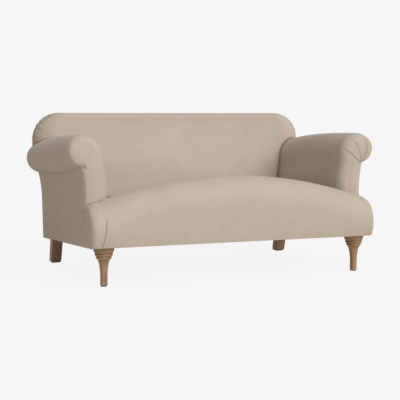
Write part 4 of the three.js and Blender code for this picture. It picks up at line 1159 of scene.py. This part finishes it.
def cloth_material(name, light, dark, scale):
    """A coarse plain cloth for the pieces inside and below."""
    made, tree, shader = material(name)
    speck = noise(tree, stretched(tree), scale, 3)
    tree.links.new(mixed(tree, speck, linear(dark), linear(light)), shader.inputs["Base Color"])
    fill(shader, {"Roughness": 0.95})
    add_bump(tree, shader, speck, 0.4, 0.8 * MM)
    return made


def steel_material():
    """Drawn steel with a slightly uneven finish."""
    made, tree, shader = material("drawn_steel")
    speck = noise(tree, stretched(tree), 300)
    tree.links.new(mixed(tree, speck, linear(STEEL_DARK), linear(STEEL_COLOUR)), shader.inputs["Base Color"])
    fill(shader, {"Metallic": 1.0, "Roughness": 0.35})
    return made


def paint(obj, made):
    """Gives an object one material."""
    obj.data.materials.clear()
    obj.data.materials.append(made)


# Stage

def add_camera():
    """The photograph's camera."""
    data = bpy.data.cameras.new("camera")
    data.sensor_width = SENSOR_WIDTH
    data.lens = FOCAL_LENGTH
    data.clip_end = CAMERA_REACH
    camera = bpy.data.objects.new("camera", data)
    camera.location = CAMERA_PLACE
    camera.rotation_euler = (CAMERA_PITCH, 0, CAMERA_YAW)
    bpy.context.scene.collection.objects.link(camera)
    bpy.context.scene.camera = camera


def add_key():
    """One broad soft key from the front right."""
    data = bpy.data.lights.new("key", "SUN")
    data.energy = KEY_STRENGTH
    data.angle = KEY_ANGLE
    key = bpy.data.objects.new("key", data)
    level = math.cos(KEY_RISE)
    towards = Vector((math.sin(KEY_TURN) * level, -math.cos(KEY_TURN) * level, math.sin(KEY_RISE)))
    key.rotation_euler = towards.to_track_quat("Z", "Y").to_euler()
    bpy.context.scene.collection.objects.link(key)


def seen_rays(tree):
    """1 for what the camera sees, straight or mirrored, and 0 for the light that falls on things."""
    path = node(tree, "ShaderNodeLightPath")
    return maths(tree, "MAXIMUM", path.outputs["Is Camera Ray"], path.outputs["Is Glossy Ray"])


def mix_surface(tree, factor, first, second, output):
    """Mixes two shaders by a factor and sends them to an output of a kind."""
    mix = node(tree, "ShaderNodeMixShader")
    out = node(tree, output)
    tree.links.new(factor, mix.inputs[0])
    tree.links.new(first.outputs[0], mix.inputs[1])
    tree.links.new(second.outputs[0], mix.inputs[2])
    tree.links.new(mix.outputs[0], out.inputs["Surface"])


def add_world():
    """A pale even world that lights softly and is seen as the background."""
    world = bpy.data.worlds.new("studio")
    bpy.context.scene.world = world
    world.use_nodes = True
    tree = world.node_tree
    tree.nodes.clear()
    light = node(tree, "ShaderNodeBackground")
    fill(light, {"Color": WORLD_COLOUR, "Strength": WORLD_STRENGTH})
    seen = node(tree, "ShaderNodeBackground")
    fill(seen, {"Color": linear(BACKGROUND_COLOUR)})
    mix_surface(tree, seen_rays(tree), light, seen, "ShaderNodeOutputWorld")


def add_floor():
    """A pale floor that runs on into the backdrop and keeps a faint shadow."""
    half = FLOOR_SIZE / 2
    corners = [(-half, -half, 0), (half, -half, 0), (half, half, 0), (-half, half, 0)]
    floor = new_object("floor", corners, [(0, 1, 2, 3)])
    made = bpy.data.materials.new("pale_floor")
    made.use_nodes = True
    tree = made.node_tree
    tree.nodes.clear()
    matte = node(tree, "ShaderNodeBsdfDiffuse")
    fill(matte, {"Color": FLOOR_COLOUR})
    glow = node(tree, "ShaderNodeEmission")
    fill(glow, {"Color": linear(FLOOR_GLOW)})
    share = maths(tree, "MULTIPLY", seen_rays(tree), 1 - FLOOR_SHADE_SHARE)
    mix_surface(tree, share, matte, glow, "ShaderNodeOutputMaterial")
    paint(floor, made)


# Putting it together

def dress(obj, made, slot, *nodes):
    """Gives a piece its material and body, and hides the frame's nodes that it stands for; the slot is not
    used.
    """
    obj.data.validate()
    obj.data.shade_smooth()
    obj.data.set_sharp_from_angle(angle=SMOOTH_ANGLE)
    paint(obj, made)
    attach(obj, "root")
    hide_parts(*nodes)


def finish_frame(nodes, subparts):
    """Gives the frame's own pieces their finishes, and hands the finishes on."""
    finishes = {
        "frame_wood": wood_material("frame_timber", TIMBER_COLOUR, TIMBER_DARK, 0),
        "leg_wood": wood_material("leg_timber", WOOD_COLOUR, WOOD_DARK),
        "steel": steel_material(),
        "webbing": cloth_material("jute_webbing", (184, 160, 118), (150, 126, 88), 500),
        "hessian": cloth_material("hessian", (174, 145, 100), (130, 104, 66), 700),
        "dust_cloth": cloth_material("dust_cloth", (52, 50, 49), (34, 33, 32), 900),
        "foam": cloth_material("foam", (236, 226, 202), (222, 210, 184), 900),
        "felt": cloth_material("felt", (118, 112, 104), (92, 88, 82), 800),
        "fabric": fabric_material(),
    }
    slots = {entry["node"]: entry["material_slot"] for entry in subparts}
    for name, obj in nodes.items():
        paint(obj, finishes[slots[name]])
    return finishes


def make_upholstery(fabric):
    """All the fabric pieces, each cut back where its neighbour lies."""
    cutters = [arm_body("arm_cutter", side, CUT_CLEARANCE, FAR) for side in (-1, 1)]
    back = make_back(cutters)
    for cutter in cutters:
        drop(cutter)
    seat = make_seat()
    cut_once(seat, back_body("back_cutter", CUT_CLEARANCE))
    for side in (-1, 1):
        low, high = sorted((side * (ARM_INNER - CLEARANCE), side * (END_HALF + FAR)))
        cut_once(seat, slab("beside", (low, END_REAR_Y, -FAR), (high, SEAT_REAR_Y + FAR, HEIGHT)))
    dress(back, fabric, "fabric", "back_cover", "back_foam")
    dress(seat, fabric, "fabric", "seat_cover", "seat_foam")
    seat_front = seat_front_cutter()
    for side, word in SIDES:
        panel_cutter = panel_body("panel_cutter", side, CLEARANCE, FAR)
        arm = make_arm(side, word, (panel_cutter, seat_front))
        drop(panel_cutter)
        dress(arm, fabric, "fabric", f"arm_cover_{word}", f"arm_pad_{word}")
        panel = panel_body(f"outside_arm_cloth_{word}", side)
        dress(panel, fabric, "fabric", f"outside_arm_{word}")
        panel_area()
    drop(seat_front)
    rear = make_outside_back()
    dress(rear, fabric, "fabric", "outside_back")
    outside_back_area()


def make_legs(wood):
    """The four legs."""
    for side, word in SIDES:
        dress(make_front_leg(side, word), wood, "leg_wood", f"leg_front_{word}")
        dress(make_rear_leg(side, word), wood, "leg_wood", f"leg_rear_{word}")


bpy.context.scene.view_settings.view_transform = "Standard"
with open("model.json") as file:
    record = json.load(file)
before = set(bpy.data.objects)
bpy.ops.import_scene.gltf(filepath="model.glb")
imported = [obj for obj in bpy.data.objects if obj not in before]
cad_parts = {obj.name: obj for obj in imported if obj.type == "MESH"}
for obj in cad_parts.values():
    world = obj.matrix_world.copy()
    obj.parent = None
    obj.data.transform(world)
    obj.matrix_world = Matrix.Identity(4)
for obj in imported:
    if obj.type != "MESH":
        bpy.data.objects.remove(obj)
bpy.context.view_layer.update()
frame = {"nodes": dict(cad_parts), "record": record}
add_camera()
add_key()
add_world()
add_floor()
finishes = finish_frame(frame["nodes"], frame["record"]["subparts"])
make_upholstery(finishes["fabric"])
make_posts(finishes["frame_wood"], frame["nodes"])
make_legs(finishes["leg_wood"])
